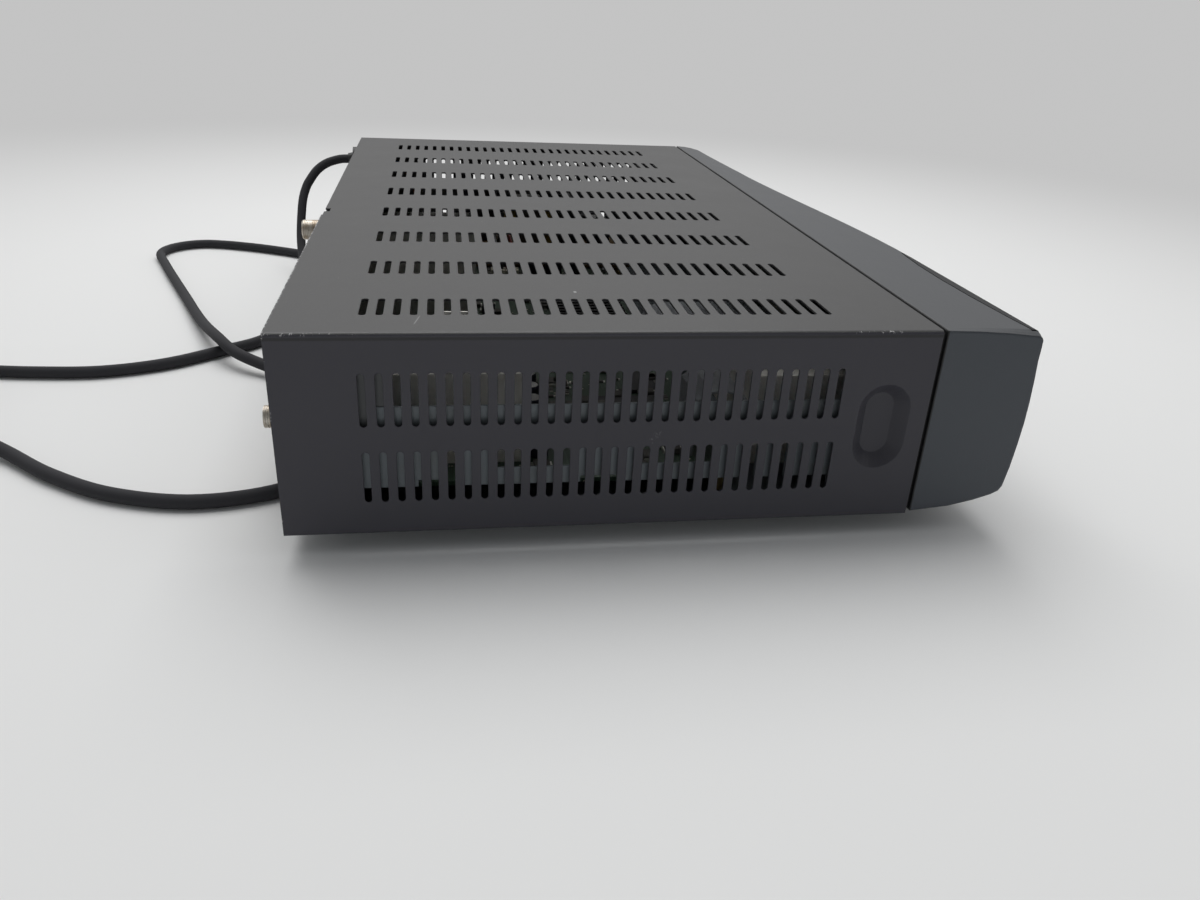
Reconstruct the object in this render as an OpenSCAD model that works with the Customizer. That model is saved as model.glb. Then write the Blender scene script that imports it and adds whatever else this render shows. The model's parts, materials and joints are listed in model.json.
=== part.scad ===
// Satellite TV receiver: a folded steel cover over a steel tray, with a moulded front.
// The front faces -Y, the rear panel faces +Y, and the feet stand on z = 0.

/* [Case] */
// Width of the case over its cover
body_w = 410; // [400:1:440]
// Height of the cover, from its lower lip to its top
body_h = 71; // [70:1:80]
// Depth of the cover, from its rear edge to the seam
body_d = 222.1; // [218:0.1:240]
// Thickness of the folded steel sheet
sheet = 0.8; // [0.6:0.1:1.1]
// Height of the feet below the cover's lower lip
foot_h = 8; // [8:0.5:12]
// Radius of a foot
foot_r = 10; // [8:0.5:13]
// Open seam between the cover and the bezel
seam = 1.5; // [0.5:0.1:2]

/* [Ventilation] */
// Slots in one row
slot_count = 30; // [10:1:32]
// Distance from one slot to the next
slot_pitch = 5.5; // [4.5:0.1:5.8]
// Width of a slot
slot_w = 2.4; // [1.5:0.1:3]
// Length of a slot in the top
slot_len = 18; // [12:1:24]
// Rows of slots in the top
row_count = 8; // [4:1:8]
// Distance from one row in the top to the next
row_pitch = 49; // [44:0.5:50]
// First row's distance from the case's left side
row_start = 27; // [20:1:34]
// First slot's distance from the rear edge
slot_start = 28.4; // [20:0.1:34]
// Length of a slot in the sides
side_slot_len = 18.5; // [12:0.5:20]
// Height of the lower row in the sides above the lip
side_row_low = 21; // [18:1:23]
// Height of the upper row in the sides above the lip
side_row_high = 48.5; // [46:0.5:52]
// Depth of the pressed dimple in each side
dimple_depth = 4; // [2:0.5:5]

/* [Front] */
// Depth of the bezel at its deep end
bezel_deep = 38.8; // [36:0.2:44]
// Depth of the bezel at its shallow end
bezel_shallow = 18.8; // [17:0.2:22]
// Wall of the moulded bezel
wall = 2.2; // [2:0.1:2.6]
// Width of the flap
flap_w = 104; // [98:1:112]
// Gap round the flap
flap_gap = 0.6; // [0.4:0.05:0.8]
// Radius of the flap's hinge pins
pin_r = 1; // [0.8:0.05:1.1]
// Running clearance round a hinge pin
pin_clear = 0.05; // [0.03:0.01:0.08]
// Width of the display window
window_w = 120; // [90:1:130]
// Height of the display window
window_h = 26; // [20:1:30]
// Radius of the power button
power_r = 8; // [6:0.5:9]
// Width of a small button
key_w = 18; // [12:1:20]
// Height of a small button
key_h = 9; // [7:0.5:10]
// How far a button stands out of the front
key_proud = 1; // [0.8:0.1:1.6]
// Travel of a button
key_travel = 0.4; // [0.3:0.05:0.5]

/* [Rear] */
// Radius of the threaded barrel of an aerial socket
f_r = 4.75; // [4.5:0.05:4.85]
// How far an aerial socket stands out of the rear panel
f_reach = 13.1; // [12:0.1:16]
// Radius of a phono socket's barrel
phono_r = 4.15; // [4:0.05:4.3]
// How far a phono socket stands out of the rear panel
phono_reach = 10.6; // [10:0.1:13]
// Distance from one phono socket to the next
phono_pitch = 14; // [13:0.5:16]

/* [Cord] */
// Diameter of the mains cord
cord_d = 5.6; // [5:0.1:6]

/* [Boards] */
// Thickness of a circuit board
board_t = 1.6; // [1.2:0.1:2]
// Height of the standoffs under the boards
standoff_h = 9; // [7:0.5:11]

/* [Hidden] */
$fn = 48;
clear = 0.3;
snug = 0.05;
tiny = 0.01;

// The case, from rear to front and from the lip up
depth = body_d + bezel_deep + f_reach;
rear_y = depth / 2 - f_reach;
seam_y = rear_y - body_d;
side_x = body_w / 2;
lip_z = foot_h;
top_z = foot_h + body_h;
bend_r = 1.4;

// The tray stands inside the cover and carries the boards
tray_in = 3;
tray_x = side_x - tray_in;
tray_z = lip_z + 1;
floor_z = tray_z + sheet;
flange_z = lip_z + 45;
flange_end = seam_y + 28;
tray_front_y = seam_y + 3;
panel_y = rear_y - sheet;
board_z = floor_z + standoff_h;
deck_z = board_z + board_t;

// Outline of the bezel from the seam: how far forward, and how high above the lip
bezel_foot = [[0, 1.0], [15, 2.4], [25, 4.6], [32, 6.8], [34.6, 8.2], [35.8, 10.2]];
bezel_nose = [[36.9, 18], [37.6, 27], [38, 36], [37.9, 44], [37.5, 52], [36.9, 60]];
bezel_crown = [[36.9, 66.1], [36.8, 68.8], [36.3, 69.7], [35.3, 70.2], [23, 70.6], [12, 70.8], [0, 70.95]];
outline = concat(bezel_foot, bezel_nose, bezel_crown);
outline_d = 38;
outline_h = 71;
front_full_y = seam_y - bezel_deep;

// The bezel's depth falls from left to right along a smooth S
fall_from = 98;
fall_to = 312;
fall_depth = 3;
stations = concat(
    [0, 0.8, 1.8, 3.5],
    [for (i = [0:12]) fall_from + i * (fall_to - fall_from) / 12],
    [for (i = [1:4]) fall_to + i * (body_w - fall_to) / 4]
);

function smooth(t) = t <= 0 ? 0 : t >= 1 ? 1 : t * t * (3 - 2 * t);
function bezel_depth(s) =
    bezel_deep
    - (bezel_deep - bezel_shallow - fall_depth) * smooth((s - fall_from) / (fall_to - fall_from))
    - fall_depth * max(0, (s - fall_to) / (body_w - fall_to));
// How far the crown's front falls towards both ends
function crown_fall(s) = 1.6 * (1 - smooth(s / 3.5)) + 1.9 * smooth((s - 240) / (body_w - 240));
function crown_share(p) = p[1] < 62 ? 0 : pow(max(p[0], 0) / outline_d, 2);
// Front surface at a place across the case, at mid height
function front_y(x) = seam_y - bezel_depth(x + side_x);

// A loft of the outline along the case, drawn in by an inset on every side
function ring(s, inset) = [
    for (p = outline) [
        inset + s * (body_w - 2 * inset) / body_w - side_x,
        seam_y - seam - max(p[0] - inset / 2, 0) * (bezel_depth(s) - seam - inset) / (outline_d - inset / 2),
        lip_z + 1 + inset + (p[1] - 1) * (body_h - 1 - 2 * inset) / (outline_h - 1) - inset * 0.02
            - crown_fall(s) * crown_share(p)
    ]
];
function loft_points(inset) = [for (s = stations) each ring(s, inset)];
// Faces of n rings of m points each, closed at both ends by fans
function loft_faces(n, m) = concat(
    [for (j = [1:m - 2]) [0, j + 1, j]],
    [for (j = [1:m - 2]) [(n - 1) * m, (n - 1) * m + j, (n - 1) * m + j + 1]],
    [for (i = [0:n - 2], j = [0:m - 1]) each [
        [i * m + j, (i + 1) * m + (j + 1) % m, (i + 1) * m + j],
        [i * m + j, i * m + (j + 1) % m, (i + 1) * m + (j + 1) % m]
    ]]
);
module bezel_form(inset = 0) {
    polyhedron(points = loft_points(inset), faces = loft_faces(len(stations), len(outline)), convexity = 6);
}

// The flap and the bay behind it
flap_x0 = -side_x + 3.2;
flap_x1 = flap_x0 + flap_w;
// How far the flap's top wraps back, along its width, and the height where it starts to
flap_lip = [[0, 4.1], [0.13, 5.1], [0.37, 6.2], [0.6, 6.4], [0.8, 5.6], [0.93, 4.3], [1, 3.4]];
flap_deep = 3.4;
lip_start_z = lip_z + 65;
barrel_r = 1.6;
flap_axis_z = lip_z + 15;
flap_axis_y = front_full_y + 0.75 + barrel_r;
pin_len = 1.6;
bay_back_y = seam_y - 10;
bay_top = top_z - 6.5;
bay_floor = flap_axis_z - 1;

// The display window and the buttons
window_x = 0;
window_z = lip_z + 38;
window_wall = 2;
power_x = side_x - 27;
power_z = lip_z + 36;
key_x1 = side_x - 62;
key_x2 = side_x - 90;
key_high = lip_z + 45;
key_low = lip_z + 27;
key_clear = 0.25;
key_flange = 1.2;
board_face_y = seam_y - 5.5;
switch_h = 3.6;
stem_r = 1.5;
stem_len = 0.9;
stem_seat = 1.4;
stem_face_y = board_face_y - switch_h - stem_len;

// The rear sockets
f_x = side_x - 215;
f_zs = [lip_z + 57, lip_z + 37];
phono_x = -side_x + 44.5;
phono_z = lip_z + 24;
phono_count = 3;
scart_xs = [-side_x + 112, side_x - 155];
scart_z = deck_z + 9;
scart_w = 50;
scart_h = 14;
data_x = side_x - 92;
data_z = deck_z + 8;
gland_x = side_x - 22;
gland_z = lip_z + 60;
gland_r = 5.5;

// The boards
main_x0 = -side_x + 12;
main_x1 = side_x - 120;
main_y1 = panel_y - 2;
main_y0 = seam_y + 62;
power_x0 = side_x - 110;
power_x1 = side_x - 10;
power_y1 = panel_y - 12;
power_y0 = seam_y + 50;
hole_in = 6;
can_y0 = rear_y - 82.9;
tuner_y0 = main_y1 - 68;
screw_r = 1.45;

main_posts = [for (x = [main_x0 + hole_in, main_x1 - hole_in], y = [main_y0 + hole_in, main_y1 - hole_in - 8]) [x, y]];
power_posts = [for (x = [power_x0 + hole_in, power_x1 - hole_in], y = [power_y0 + hole_in, power_y1 - hole_in]) [x, y]];
posts = concat(main_posts, power_posts);
foot_places = [for (x = [-1, 1] * (side_x - 35), y = [rear_y - 30, seam_y + 30]) [x, y]];
// The cover's upper screw stands beside the aerial sockets, and the step in the edge beyond it
upper_screw_x = f_x - 45;
screw_places = [
    [upper_screw_x, rear_y, top_z - 8],
    [-side_x + 16, rear_y, lip_z + 50],
    [side_x - 9, rear_y, lip_z + 50]
];
tab_w = 14;
tab_h = 12.5;
step_x = upper_screw_x + 15;
step_in = 0.6;

// The cord's route along its middle: out of the strain relief, down to the table and
// away to the left, round a small coil, then back behind the case to its plug
cord_r = cord_d / 2;
lie = cord_r + 0.05;
route_out = [
    [183, 131, 68], [182.8, 137, 67.5], [181.2, 144.8, 65.2], [178.7, 151, 61.2], [175.3, 155.5, 55.8],
    [171.6, 158.8, 50], [165, 161, 41], [152, 161.8, 23.5], [138, 160, 12], [120, 157.4, 5],
    [96, 155.4, lie + 0.15], [30, 155.5, lie], [4, 165.5, lie], [-11, 182, lie], [-29, 205, lie],
    [-38.5, 232, lie], [-38.5, 262, lie], [-35.5, 288, lie]
];
route_back = [
    [-102, 290, 16.2], [-111, 264, 8], [-126, 240, lie + 0.7], [-146, 217, lie], [-163, 190, lie],
    [-170, 158, lie], [-160, 127, lie], [-132, 110, lie], [-98, 112, lie + 0.1], [-66, 127, lie + 0.4],
    [-45, 148.5, 4.4], [-28.5, 170.5, 7.6], [-9, 183.6, 9.4], [30, 200.5, 5.4], [80.5, 220.1, lie + 0.4],
    [130, 240, lie + 0.1], [163, 252.9, lie], [173.9, 257.2, lie], [182, 258.9, lie], [191.7, 257.5, lie],
    [200.3, 252.4, lie], [206.4, 244.7, lie], [209.1, 235.6, lie], [208.4, 226.5, lie], [204.8, 213, lie],
    [196.7, 192.5, lie], [185, 170, lie], [172, 150.5, lie], [150, 139, lie]
];
route_steps = 2;
coil_at = [-66, 316];
coil_r = 32;
coil_turns = 2.5;
coil_points = 12;
coil_rise = cord_d + 0.7;
coil = [
    for (i = [0:coil_turns * coil_points]) let (a = i * 360 / coil_points)
        [coil_at[0] + coil_r * cos(a), coil_at[1] + coil_r * sin(a), lie + i * coil_rise / coil_points]
];
tie_t = 1;
tie_w = 5;
plug_tip_x = 150;
plug_y = 139;
plug_w = 24;
plug_h = 13.6;
boot_len = 14;

// A smooth line through hand-placed points
function spline(a, b, c, d, t) =
    0.5 * ((2 * b) + (c - a) * t + (2 * a - 5 * b + 4 * c - d) * t * t + (3 * b - a - 3 * c + d) * t * t * t);
function line_at(p, i, t) =
    let (n = len(p) - 1)
    spline(p[max(i - 1, 0)], p[i], p[min(i + 1, n)], p[min(i + 2, n)], t);
function smooth_line(p, steps) = concat(
    [for (i = [0:len(p) - 2], k = [0:steps - 1]) line_at(p, i, k / steps)],
    [p[len(p) - 1]]
);
function length_of(p, i = 0) = i >= len(p) - 1 ? 0 : norm(p[i + 1] - p[i]) + length_of(p, i + 1);
// Least distance between places on a line that are more than "apart" points from each other
function least_between(p, apart) = min([for (i = [0:len(p) - 1 - apart], j = [i + apart:len(p) - 1]) norm(p[i] - p[j])]);
function unit(v) = v / max(norm(v), 1e-9);
function heading(p, i) = unit(p[min(i + 1, len(p) - 1)] - p[max(i - 1, 0)]);
// A round cord along a line that never runs along the direction "level"
module tube(p, r, sides, level = [0, 0, 1]) {
    n = len(p);
    pts = [for (i = [0:n - 1]) let (d = heading(p, i), a = unit(cross(d, level)), b = cross(a, d))
        each [for (k = [0:sides - 1]) p[i] + r * (a * cos((k + 0.5) * 360 / sides) + b * sin((k + 0.5) * 360 / sides))]];
    polyhedron(points = pts, faces = loft_faces(n, sides), convexity = 8);
}

// Shapes used again and again
module slab(x0, y0, z0, x1, y1, z1) {
    translate([x0, y0, z0]) cube([x1 - x0, y1 - y0, z1 - z0]);
}
module slot_shape(l, w) {
    square([l - w, w], center = true);
    for (e = [-1, 1] * (l - w) / 2) translate([e, 0]) circle(d = w, $fn = 16);
}
module round_shape(w, h, r) {
    square([w - 2 * r, h], center = true);
    square([w, h - 2 * r], center = true);
    for (x = [-1, 1] * (w / 2 - r), y = [-1, 1] * (h / 2 - r)) translate([x, y]) circle(r = r, $fn = 24);
}
// Points its height along -Y, from y0 forward to y1
module forward(y0, y1) {
    translate([0, y0, 0]) rotate([90, 0, 0]) linear_extrude(y0 - y1) children();
}
module rod_y(x, z, r, y0, y1) {
    translate([x, y0, z]) rotate([-90, 0, 0]) cylinder(r = r, h = y1 - y0);
}
module pan_screw_down(x, y, z, length) {
    translate([x, y, z]) cylinder(r = 2.8, h = 1.8);
    translate([x, y, z - length]) cylinder(r = screw_r, h = length + tiny);
}

// ---- The case ----
module dimple_dish(side, grow) {
    dimple_y = rear_y - 205.9;
    dimple_z = lip_z + 35.5;
    hull() {
        for (z = [-6.5, 6.5]) translate([side * (side_x + tiny), dimple_y, dimple_z + z]) rotate([0, 90, 0])
            cylinder(r = 9.6 + grow, h = 0.02, center = true, $fn = 32);
        for (z = [-6.5, 6.5]) translate([side * (side_x - dimple_depth - grow), dimple_y, dimple_z + z]) rotate([0, 90, 0])
            cylinder(r = 5.2 + grow / 2, h = 0.02, center = true, $fn = 32);
    }
}
module cover_section(w, h) {
    difference() {
        union() {
            translate([-w / 2, 0]) square([w, h - bend_r]);
            translate([-w / 2 + bend_r, 0]) square([w - 2 * bend_r, h]);
            for (x = [-1, 1] * (w / 2 - bend_r)) translate([x, h - bend_r]) circle(r = bend_r, $fn = 24);
        }
        translate([-w / 2 + sheet, -1]) square([w - 2 * sheet, h - sheet + 1]);
    }
}
module top_slots() {
    translate([0, 0, top_z - sheet - 1]) linear_extrude(sheet + 2)
        for (i = [0:row_count - 1], j = [0:slot_count - 1])
            translate([-side_x + row_start + i * row_pitch, rear_y - slot_start - j * slot_pitch])
                slot_shape(slot_len, slot_w);
}
module side_slots() {
    translate([-side_x - 1, 0, 0]) rotate([90, 0, 90]) linear_extrude(body_w + 2)
        for (z = [side_row_low, side_row_high], j = [0:slot_count - 1])
            translate([rear_y - slot_start - j * slot_pitch, lip_z + z])
                rotate(90) slot_shape(side_slot_len, slot_w);
}
module top_cover() color("#3a3a3c") {
    difference() {
        union() {
            translate([0, 0, lip_z]) forward(rear_y, seam_y) cover_section(body_w, body_h);
            for (s = [-1, 1]) intersection() {
                dimple_dish(s, sheet);
                slab(-side_x + tiny, seam_y, lip_z, side_x - tiny, rear_y, top_z);
            }
            for (p = screw_places) cover_tab(p);
        }
        for (s = [-1, 1]) dimple_dish(s, 0);
        // Step and notch in the top's rear edge
        slab(step_x, rear_y - step_in, top_z - sheet - tiny, side_x + 1, rear_y + 1, top_z + 1);
        slab(step_x + 7, rear_y - step_in - 2.4, top_z - sheet - tiny, step_x + 13.5, rear_y + 1, top_z + 1);
        slab(side_x - 3, rear_y - step_in, top_z - 9, side_x + 1, rear_y + 1, top_z + 1);
        top_slots();
        side_slots();
        for (p = screw_places) rod_y(p[0], p[2], screw_r + clear, rear_y - 3, rear_y + 1);
    }
}
// A tab folded down or inward over the rear panel, with a screw through it
module cover_tab(p) {
    inner = side_x - sheet;
    if (abs(p[0]) > side_x - 2 * tab_w)
        slab(p[0] < 0 ? -inner - tiny : p[0] - 5, panel_y, p[2] - tab_w / 2, p[0] < 0 ? p[0] + 5 : inner + tiny, rear_y, p[2] + tab_w / 2);
    else
        slab(p[0] - tab_w / 2, panel_y, top_z - tab_h, p[0] + tab_w / 2, rear_y, top_z - sheet + tiny);
}
module chassis_tray() color("#8d969c") difference() {
    union() {
        slab(-tray_x, tray_front_y, tray_z, tray_x, panel_y - sheet, floor_z);
        for (s = [0, 1]) mirror([s, 0, 0])
            difference() {
                slab(-tray_x, flange_end, tray_z, -tray_x + sheet, panel_y - sheet, flange_z);
                slab(-side_x, rear_y - 31.4, lip_z + 34.6, -tray_x + 1, rear_y, flange_z + 1);
                // Long low window, higher and narrower openings
                slab(-side_x, flange_end + 4, floor_z + 1.5, -tray_x + 1, rear_y - 22.9, lip_z + 15.6);
                for (y = [rear_y - 58.9, rear_y - 113.9]) slab(-side_x, y, lip_z + 15, -tray_x + 1, y + 14, lip_z + 18);
                for (y = [68, -36.5, -47.5]) slab(-side_x, y - 2, lip_z + 15, -tray_x + 1, y + 2, lip_z + 30);
            }
        slab(-tray_x, tray_front_y, tray_z, tray_x, tray_front_y + sheet, tray_z + 14);
    }
    for (x = [rear_y - 96.9, rear_y - 146.9]) slab(-side_x, x, lip_z + 22, side_x, x + 27.5, lip_z + 36);
    for (p = foot_places) translate([p[0], p[1], tray_z - 1]) cylinder(r = screw_r + snug, h = 4);
    translate([0, (rear_y + seam_y) / 2, tray_z - 1]) linear_extrude(sheet + 2)
        for (x = [-3:3], y = [-4:4]) translate([x * 36, y * 12]) slot_shape(24, 3);
}
module rear_panel() color("#55585c") difference() {
    union() {
        slab(-tray_x, panel_y - sheet, tray_z, tray_x, panel_y, top_z - sheet - clear);
        slab(-tray_x + 3, panel_y - 9, top_z - 2 * sheet - clear, tray_x - 3, panel_y - sheet, top_z - sheet - clear);
        // Side tabs beside the tray's flanges
        for (s = [0, 1]) mirror([s, 0, 0]) {
            slab(-tray_x, rear_y - 31.1, lip_z + 35, -tray_x + sheet, panel_y - tiny, lip_z + 62);
            slab(-tray_x, rear_y - 37.4, flange_z + 0.4, -tray_x + sheet, rear_y - 30.9, lip_z + 62);
        }
    }
    for (z = f_zs) rod_y(f_x, z, f_r + clear, panel_y - 2, panel_y + 1);
    for (i = [0:phono_count - 1])
        rod_y(phono_x + i * phono_pitch, phono_z, phono_r + 0.9, panel_y - 2, panel_y + 1);
    for (x = scart_xs) slab(x - scart_w / 2 - clear, panel_y - 2, scart_z - scart_h / 2 - clear,
        x + scart_w / 2 + clear, panel_y + 1, scart_z + scart_h / 2 + clear);
    slab(data_x - 9.5, panel_y - 2, data_z - 5, data_x + 9.5, panel_y + 1, data_z + 5);
    rod_y(gland_x, gland_z, gland_r + snug, panel_y - 2, panel_y + 1);
    for (p = screw_places) rod_y(p[0], p[2], screw_r + snug, panel_y - 2, panel_y + 1);
    translate([0, panel_y + 1, 0]) rotate([90, 0, 0]) linear_extrude(sheet + 2)
        for (i = [0:7]) translate([power_x0 + 14 + i * 7, lip_z + 40]) rotate(90) slot_shape(22, 3);
}
module rubber_feet() color("#1c1c1d") for (p = foot_places) translate([p[0], p[1], 0]) difference() {
    union() {
        cylinder(r1 = foot_r - 1, r2 = foot_r, h = 2.5);
        translate([0, 0, 2.5]) cylinder(r = foot_r, h = tray_z - 2.5);
    }
    translate([0, 0, -1]) cylinder(r = 3.6, h = 5);
    translate([0, 0, -1]) cylinder(r = screw_r + snug, h = tray_z + 2);
}
module foot_screws() color("#a9adb0") for (p = foot_places) translate([p[0], p[1], 0]) {
    translate([0, 0, 2.2]) cylinder(r = 2.8, h = 1.8);
    cylinder_top = floor_z + 2;
    translate([0, 0, 4 - tiny]) cylinder(r = screw_r, h = cylinder_top - 4);
}
module cover_screws() color("#26272a") for (p = screw_places) {
    rod_y(p[0], p[2], screw_r, rear_y - 6, rear_y + tiny);
    difference() {
        rod_y(p[0], p[2], 3.3, rear_y, rear_y + 2.2);
        translate([p[0], rear_y + 1.8, p[2]]) cube([4, 2.4, 0.9], center = true);
        translate([p[0], rear_y + 1.8, p[2]]) cube([0.9, 2.4, 4], center = true);
    }
}

// ---- The front ----
module flap_cut(gap) {
    low_z = flap_axis_z - (gap > 0 ? barrel_r + gap : 0);
    back_y = gap > 0 ? flap_axis_y + barrel_r + gap : front_full_y + flap_deep;
    slab(flap_x0 - gap, front_full_y - 5, low_z, flap_x1 + gap, back_y, lip_start_z);
    translate([0, 0, lip_start_z - max(gap, tiny)]) linear_extrude(top_z) offset(delta = gap) polygon(concat(
        [[flap_x1, front_full_y - 5], [flap_x0, front_full_y - 5]],
        [for (p = flap_lip) [flap_x0 + p[0] * flap_w, front_full_y + p[1]]]
    ));
}
module window_cut(gap) {
    translate([window_x, 0, window_z]) forward(seam_y - 12, front_full_y - 5)
        round_shape(window_w + 2 * gap, window_h + 2 * gap, 3);
}
module key_holes(gap) {
    translate([power_x, 0, power_z]) forward(seam_y - 8, front_full_y) circle(r = power_r + gap);
    for (x = [key_x1, key_x2], z = [key_high, key_low]) translate([x, 0, z]) forward(seam_y - 8, front_full_y)
        round_shape(key_w + 2 * gap, key_h + 2 * gap, 2);
}
skirt_x = side_x - sheet - 1;
skirt_z = top_z - sheet - 1;
module front_bezel() color("#3c3f46") difference() {
    union() {
        difference() {
            bezel_form(0);
            bezel_form(wall);
            slab(-side_x + wall, seam_y - wall * 3, lip_z + 1 + wall, side_x - wall, seam_y + 1, top_z - wall);
        }
        // Walls of the bay behind the flap
        intersection() {
            bezel_form(0.2);
            slab(-side_x + 0.3, front_full_y - 1, bay_floor - 3, flap_x1 + 3.4, bay_back_y + 2, top_z - 0.5);
        }
        // Skirt that runs inside the cover's front edge
        difference() {
            slab(-skirt_x, seam_y - seam - 4, lip_z + 1.2, skirt_x, seam_y + 2.6, skirt_z);
            slab(-skirt_x + wall, seam_y - 9, lip_z + 1.2 + wall, skirt_x - wall, seam_y + 5, skirt_z - wall);
        }
        // Posts that carry the front board
        for (x = [-72, 0, side_x - 44, side_x - 10], z = [lip_z + 14, lip_z + 60]) if (x > -60 || z > lip_z + 20)
            rod_y(x, z, 3, front_y(x) + 1, board_face_y);
    }
    // Inside of the bay, left open at the front
    slab(flap_x0 - flap_gap, front_full_y - 5, bay_floor, flap_x1 + flap_gap, bay_back_y, bay_top);
    flap_cut(flap_gap);
    translate([flap_x0 - flap_gap - pin_len - 0.3, flap_axis_y, flap_axis_z]) rotate([0, 90, 0])
        cylinder(r = pin_r + pin_clear, h = flap_w + 2 * flap_gap + 2 * pin_len + 0.6);
    // Two card slots in the bay's back wall
    for (z = [lip_z + 24, lip_z + 40])
        slab((flap_x0 + flap_x1) / 2 - 28, bay_back_y - 3, z - 1.3, (flap_x0 + flap_x1) / 2 + 28, bay_back_y + 6, z + 1.3);
    window_cut(0.15);
    key_holes(key_clear);
    rod_y(power_x, power_z + 16, 1.6, front_full_y, seam_y - 4);
    translate([power_x, 0, power_z]) forward(seam_y - 8, front_y(power_x) + wall + 1.2) circle(r = power_r + 2);
}
module front_flap() color("#34373e") {
    intersection() {
        difference() {
            bezel_form(0);
            bezel_form(wall);
        }
        flap_cut(0);
    }
    translate([flap_x0, flap_axis_y, flap_axis_z]) rotate([0, 90, 0]) cylinder(r = barrel_r, h = flap_w);
    translate([flap_x0 - flap_gap - pin_len, flap_axis_y, flap_axis_z]) rotate([0, 90, 0])
        cylinder(r = pin_r, h = flap_w + 2 * flap_gap + 2 * pin_len);
}
module display_window() color("#101214") intersection() {
    difference() {
        bezel_form(0);
        bezel_form(window_wall);
    }
    window_cut(0);
}
module light_pipe() color("#d8e6dc") {
    rod_y(power_x, power_z + 16, 1.5, front_y(power_x) + 0.6, board_face_y - 2.2);
    rod_y(power_x, power_z + 16, 2.5, board_face_y - 2.2, board_face_y);
}
// A button: its cap, a lip that keeps it behind the bezel, and a post to its switch
module key(x, z, flange) {
    face = front_y(x) - key_proud;
    inner = front_y(x) + wall + 1.6;
    translate([x, 0, z]) {
        forward(inner + 1.2, face) children(0);
        forward(inner + 1.2, inner) children(1);
    }
    rod_y(x, z, 2, inner + 1.2 - tiny, stem_face_y);
}
module small_key(x, z) color("#43464d") key(x, z, 0) {
    round_shape(key_w, key_h, 1.8);
    round_shape(key_w + 2 * key_flange, key_h + 2 * key_flange, 2.4);
}
module power_button() color("#43464d") key(power_x, power_z, 0) {
    circle(r = power_r);
    circle(r = power_r + key_flange);
}
module up_button() small_key(key_x1, key_high);
module down_button() small_key(key_x1, key_low);
module menu_button() small_key(key_x2, key_high);
module ok_button() small_key(key_x2, key_low);
module stem(x, z) color("#20201f") rod_y(x, z, stem_r, stem_face_y, board_face_y - stem_seat);
module power_stem() stem(power_x, power_z);
module up_stem() stem(key_x1, key_high);
module down_stem() stem(key_x1, key_low);
module menu_stem() stem(key_x2, key_high);
module ok_stem() stem(key_x2, key_low);
module tact_switches() color("#6f7376")
    for (p = [[power_x, power_z], [key_x1, key_high], [key_x1, key_low], [key_x2, key_high], [key_x2, key_low]])
        difference() {
            slab(p[0] - 3, board_face_y - switch_h, p[1] - 3, p[0] + 3, board_face_y, p[1] + 3);
            rod_y(p[0], p[1], stem_r + 0.1, board_face_y - switch_h - 1, board_face_y - stem_seat + key_travel + 0.2);
        }
module front_board() color("#2c6b45")
    slab(-side_x + 128, board_face_y, lip_z + 9, side_x - 6, board_face_y + board_t, lip_z + 65);
display_y = board_face_y - 9;
module display_module() color("#20211f") {
    difference() {
        slab(window_x - 50, display_y, window_z - 12, window_x + 50, board_face_y, window_z + 12);
        slab(window_x - 46, display_y - 1, window_z - 9, window_x + 46, display_y + 1, window_z + 9);
    }
}
module infrared_sensor() color("#191517") {
    slab(window_x + 53, board_face_y - 6, window_z - 4, window_x + 59, board_face_y, window_z + 4);
    rod_y(window_x + 56, window_z, 2.4, board_face_y - 8, board_face_y - 6 + tiny);
}
module card_reader() color("#b7b9b4") {
    mid = (flap_x0 + flap_x1) / 2;
    difference() {
        slab(mid - 32, bay_back_y + 2 + clear, lip_z + 18, mid + 32, seam_y + 56, lip_z + 46);
        for (z = [lip_z + 24, lip_z + 40])
            slab(mid - 28, bay_back_y, z - 1, mid + 28, seam_y + 48, z + 1);
    }
    for (x = [mid - 12, mid + 12]) slab(x - 3, seam_y + 26, floor_z, x + 3, seam_y + 50, lip_z + 18 + tiny);
}

// ---- The main board ----
module post_holes(list) {
    for (p = list) translate([p[0], p[1], board_z - 1]) cylinder(r = screw_r + snug, h = board_t + 2);
}
module main_board() color("#2f7a4c") difference() {
    slab(main_x0, main_y0, board_z, main_x1, main_y1, deck_z);
    post_holes(main_posts);
}
module board_standoffs() color("#b79a58") for (p = posts) translate([p[0], p[1], floor_z]) difference() {
    cylinder(r = 3, h = standoff_h);
    translate([0, 0, 2]) cylinder(r = screw_r + snug, h = standoff_h);
}
module board_screws() color("#a9adb0") for (p = posts) pan_screw_down(p[0], p[1], deck_z, board_t + 5);
chip_x = (main_x0 + main_x1) / 2 + 11;
chip_y = main_y0 + 34;
module processor_chip() color("#1d1f21") slab(chip_x - 14, chip_y - 14, deck_z, chip_x + 14, chip_y + 14, deck_z + 2.4);
module chip_heat_sink() color("#8f959a") {
    slab(chip_x - 17, chip_y - 17, deck_z + 2.4, chip_x + 17, chip_y + 17, deck_z + 5);
    for (i = [0:7]) slab(chip_x - 17 + i * 4.6, chip_y - 17, deck_z + 5 - tiny, chip_x - 15.2 + i * 4.6, chip_y + 17, deck_z + 15);
}
memory_left = [for (p = [[60, 22], [60, 38], [88, 20]]) [main_x0 + p[0], main_y0 + p[1]]];
memory_right = [for (p = [[-70, 30], [-70, 50], [-36, 44]]) [main_x1 + p[0], main_y0 + p[1]]];
module memory_chips() color("#202224") for (p = concat(memory_left, memory_right))
    slab(p[0] - 11, p[1] - 6, deck_z, p[0] + 11, p[1] + 6, deck_z + 1.4);
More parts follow.
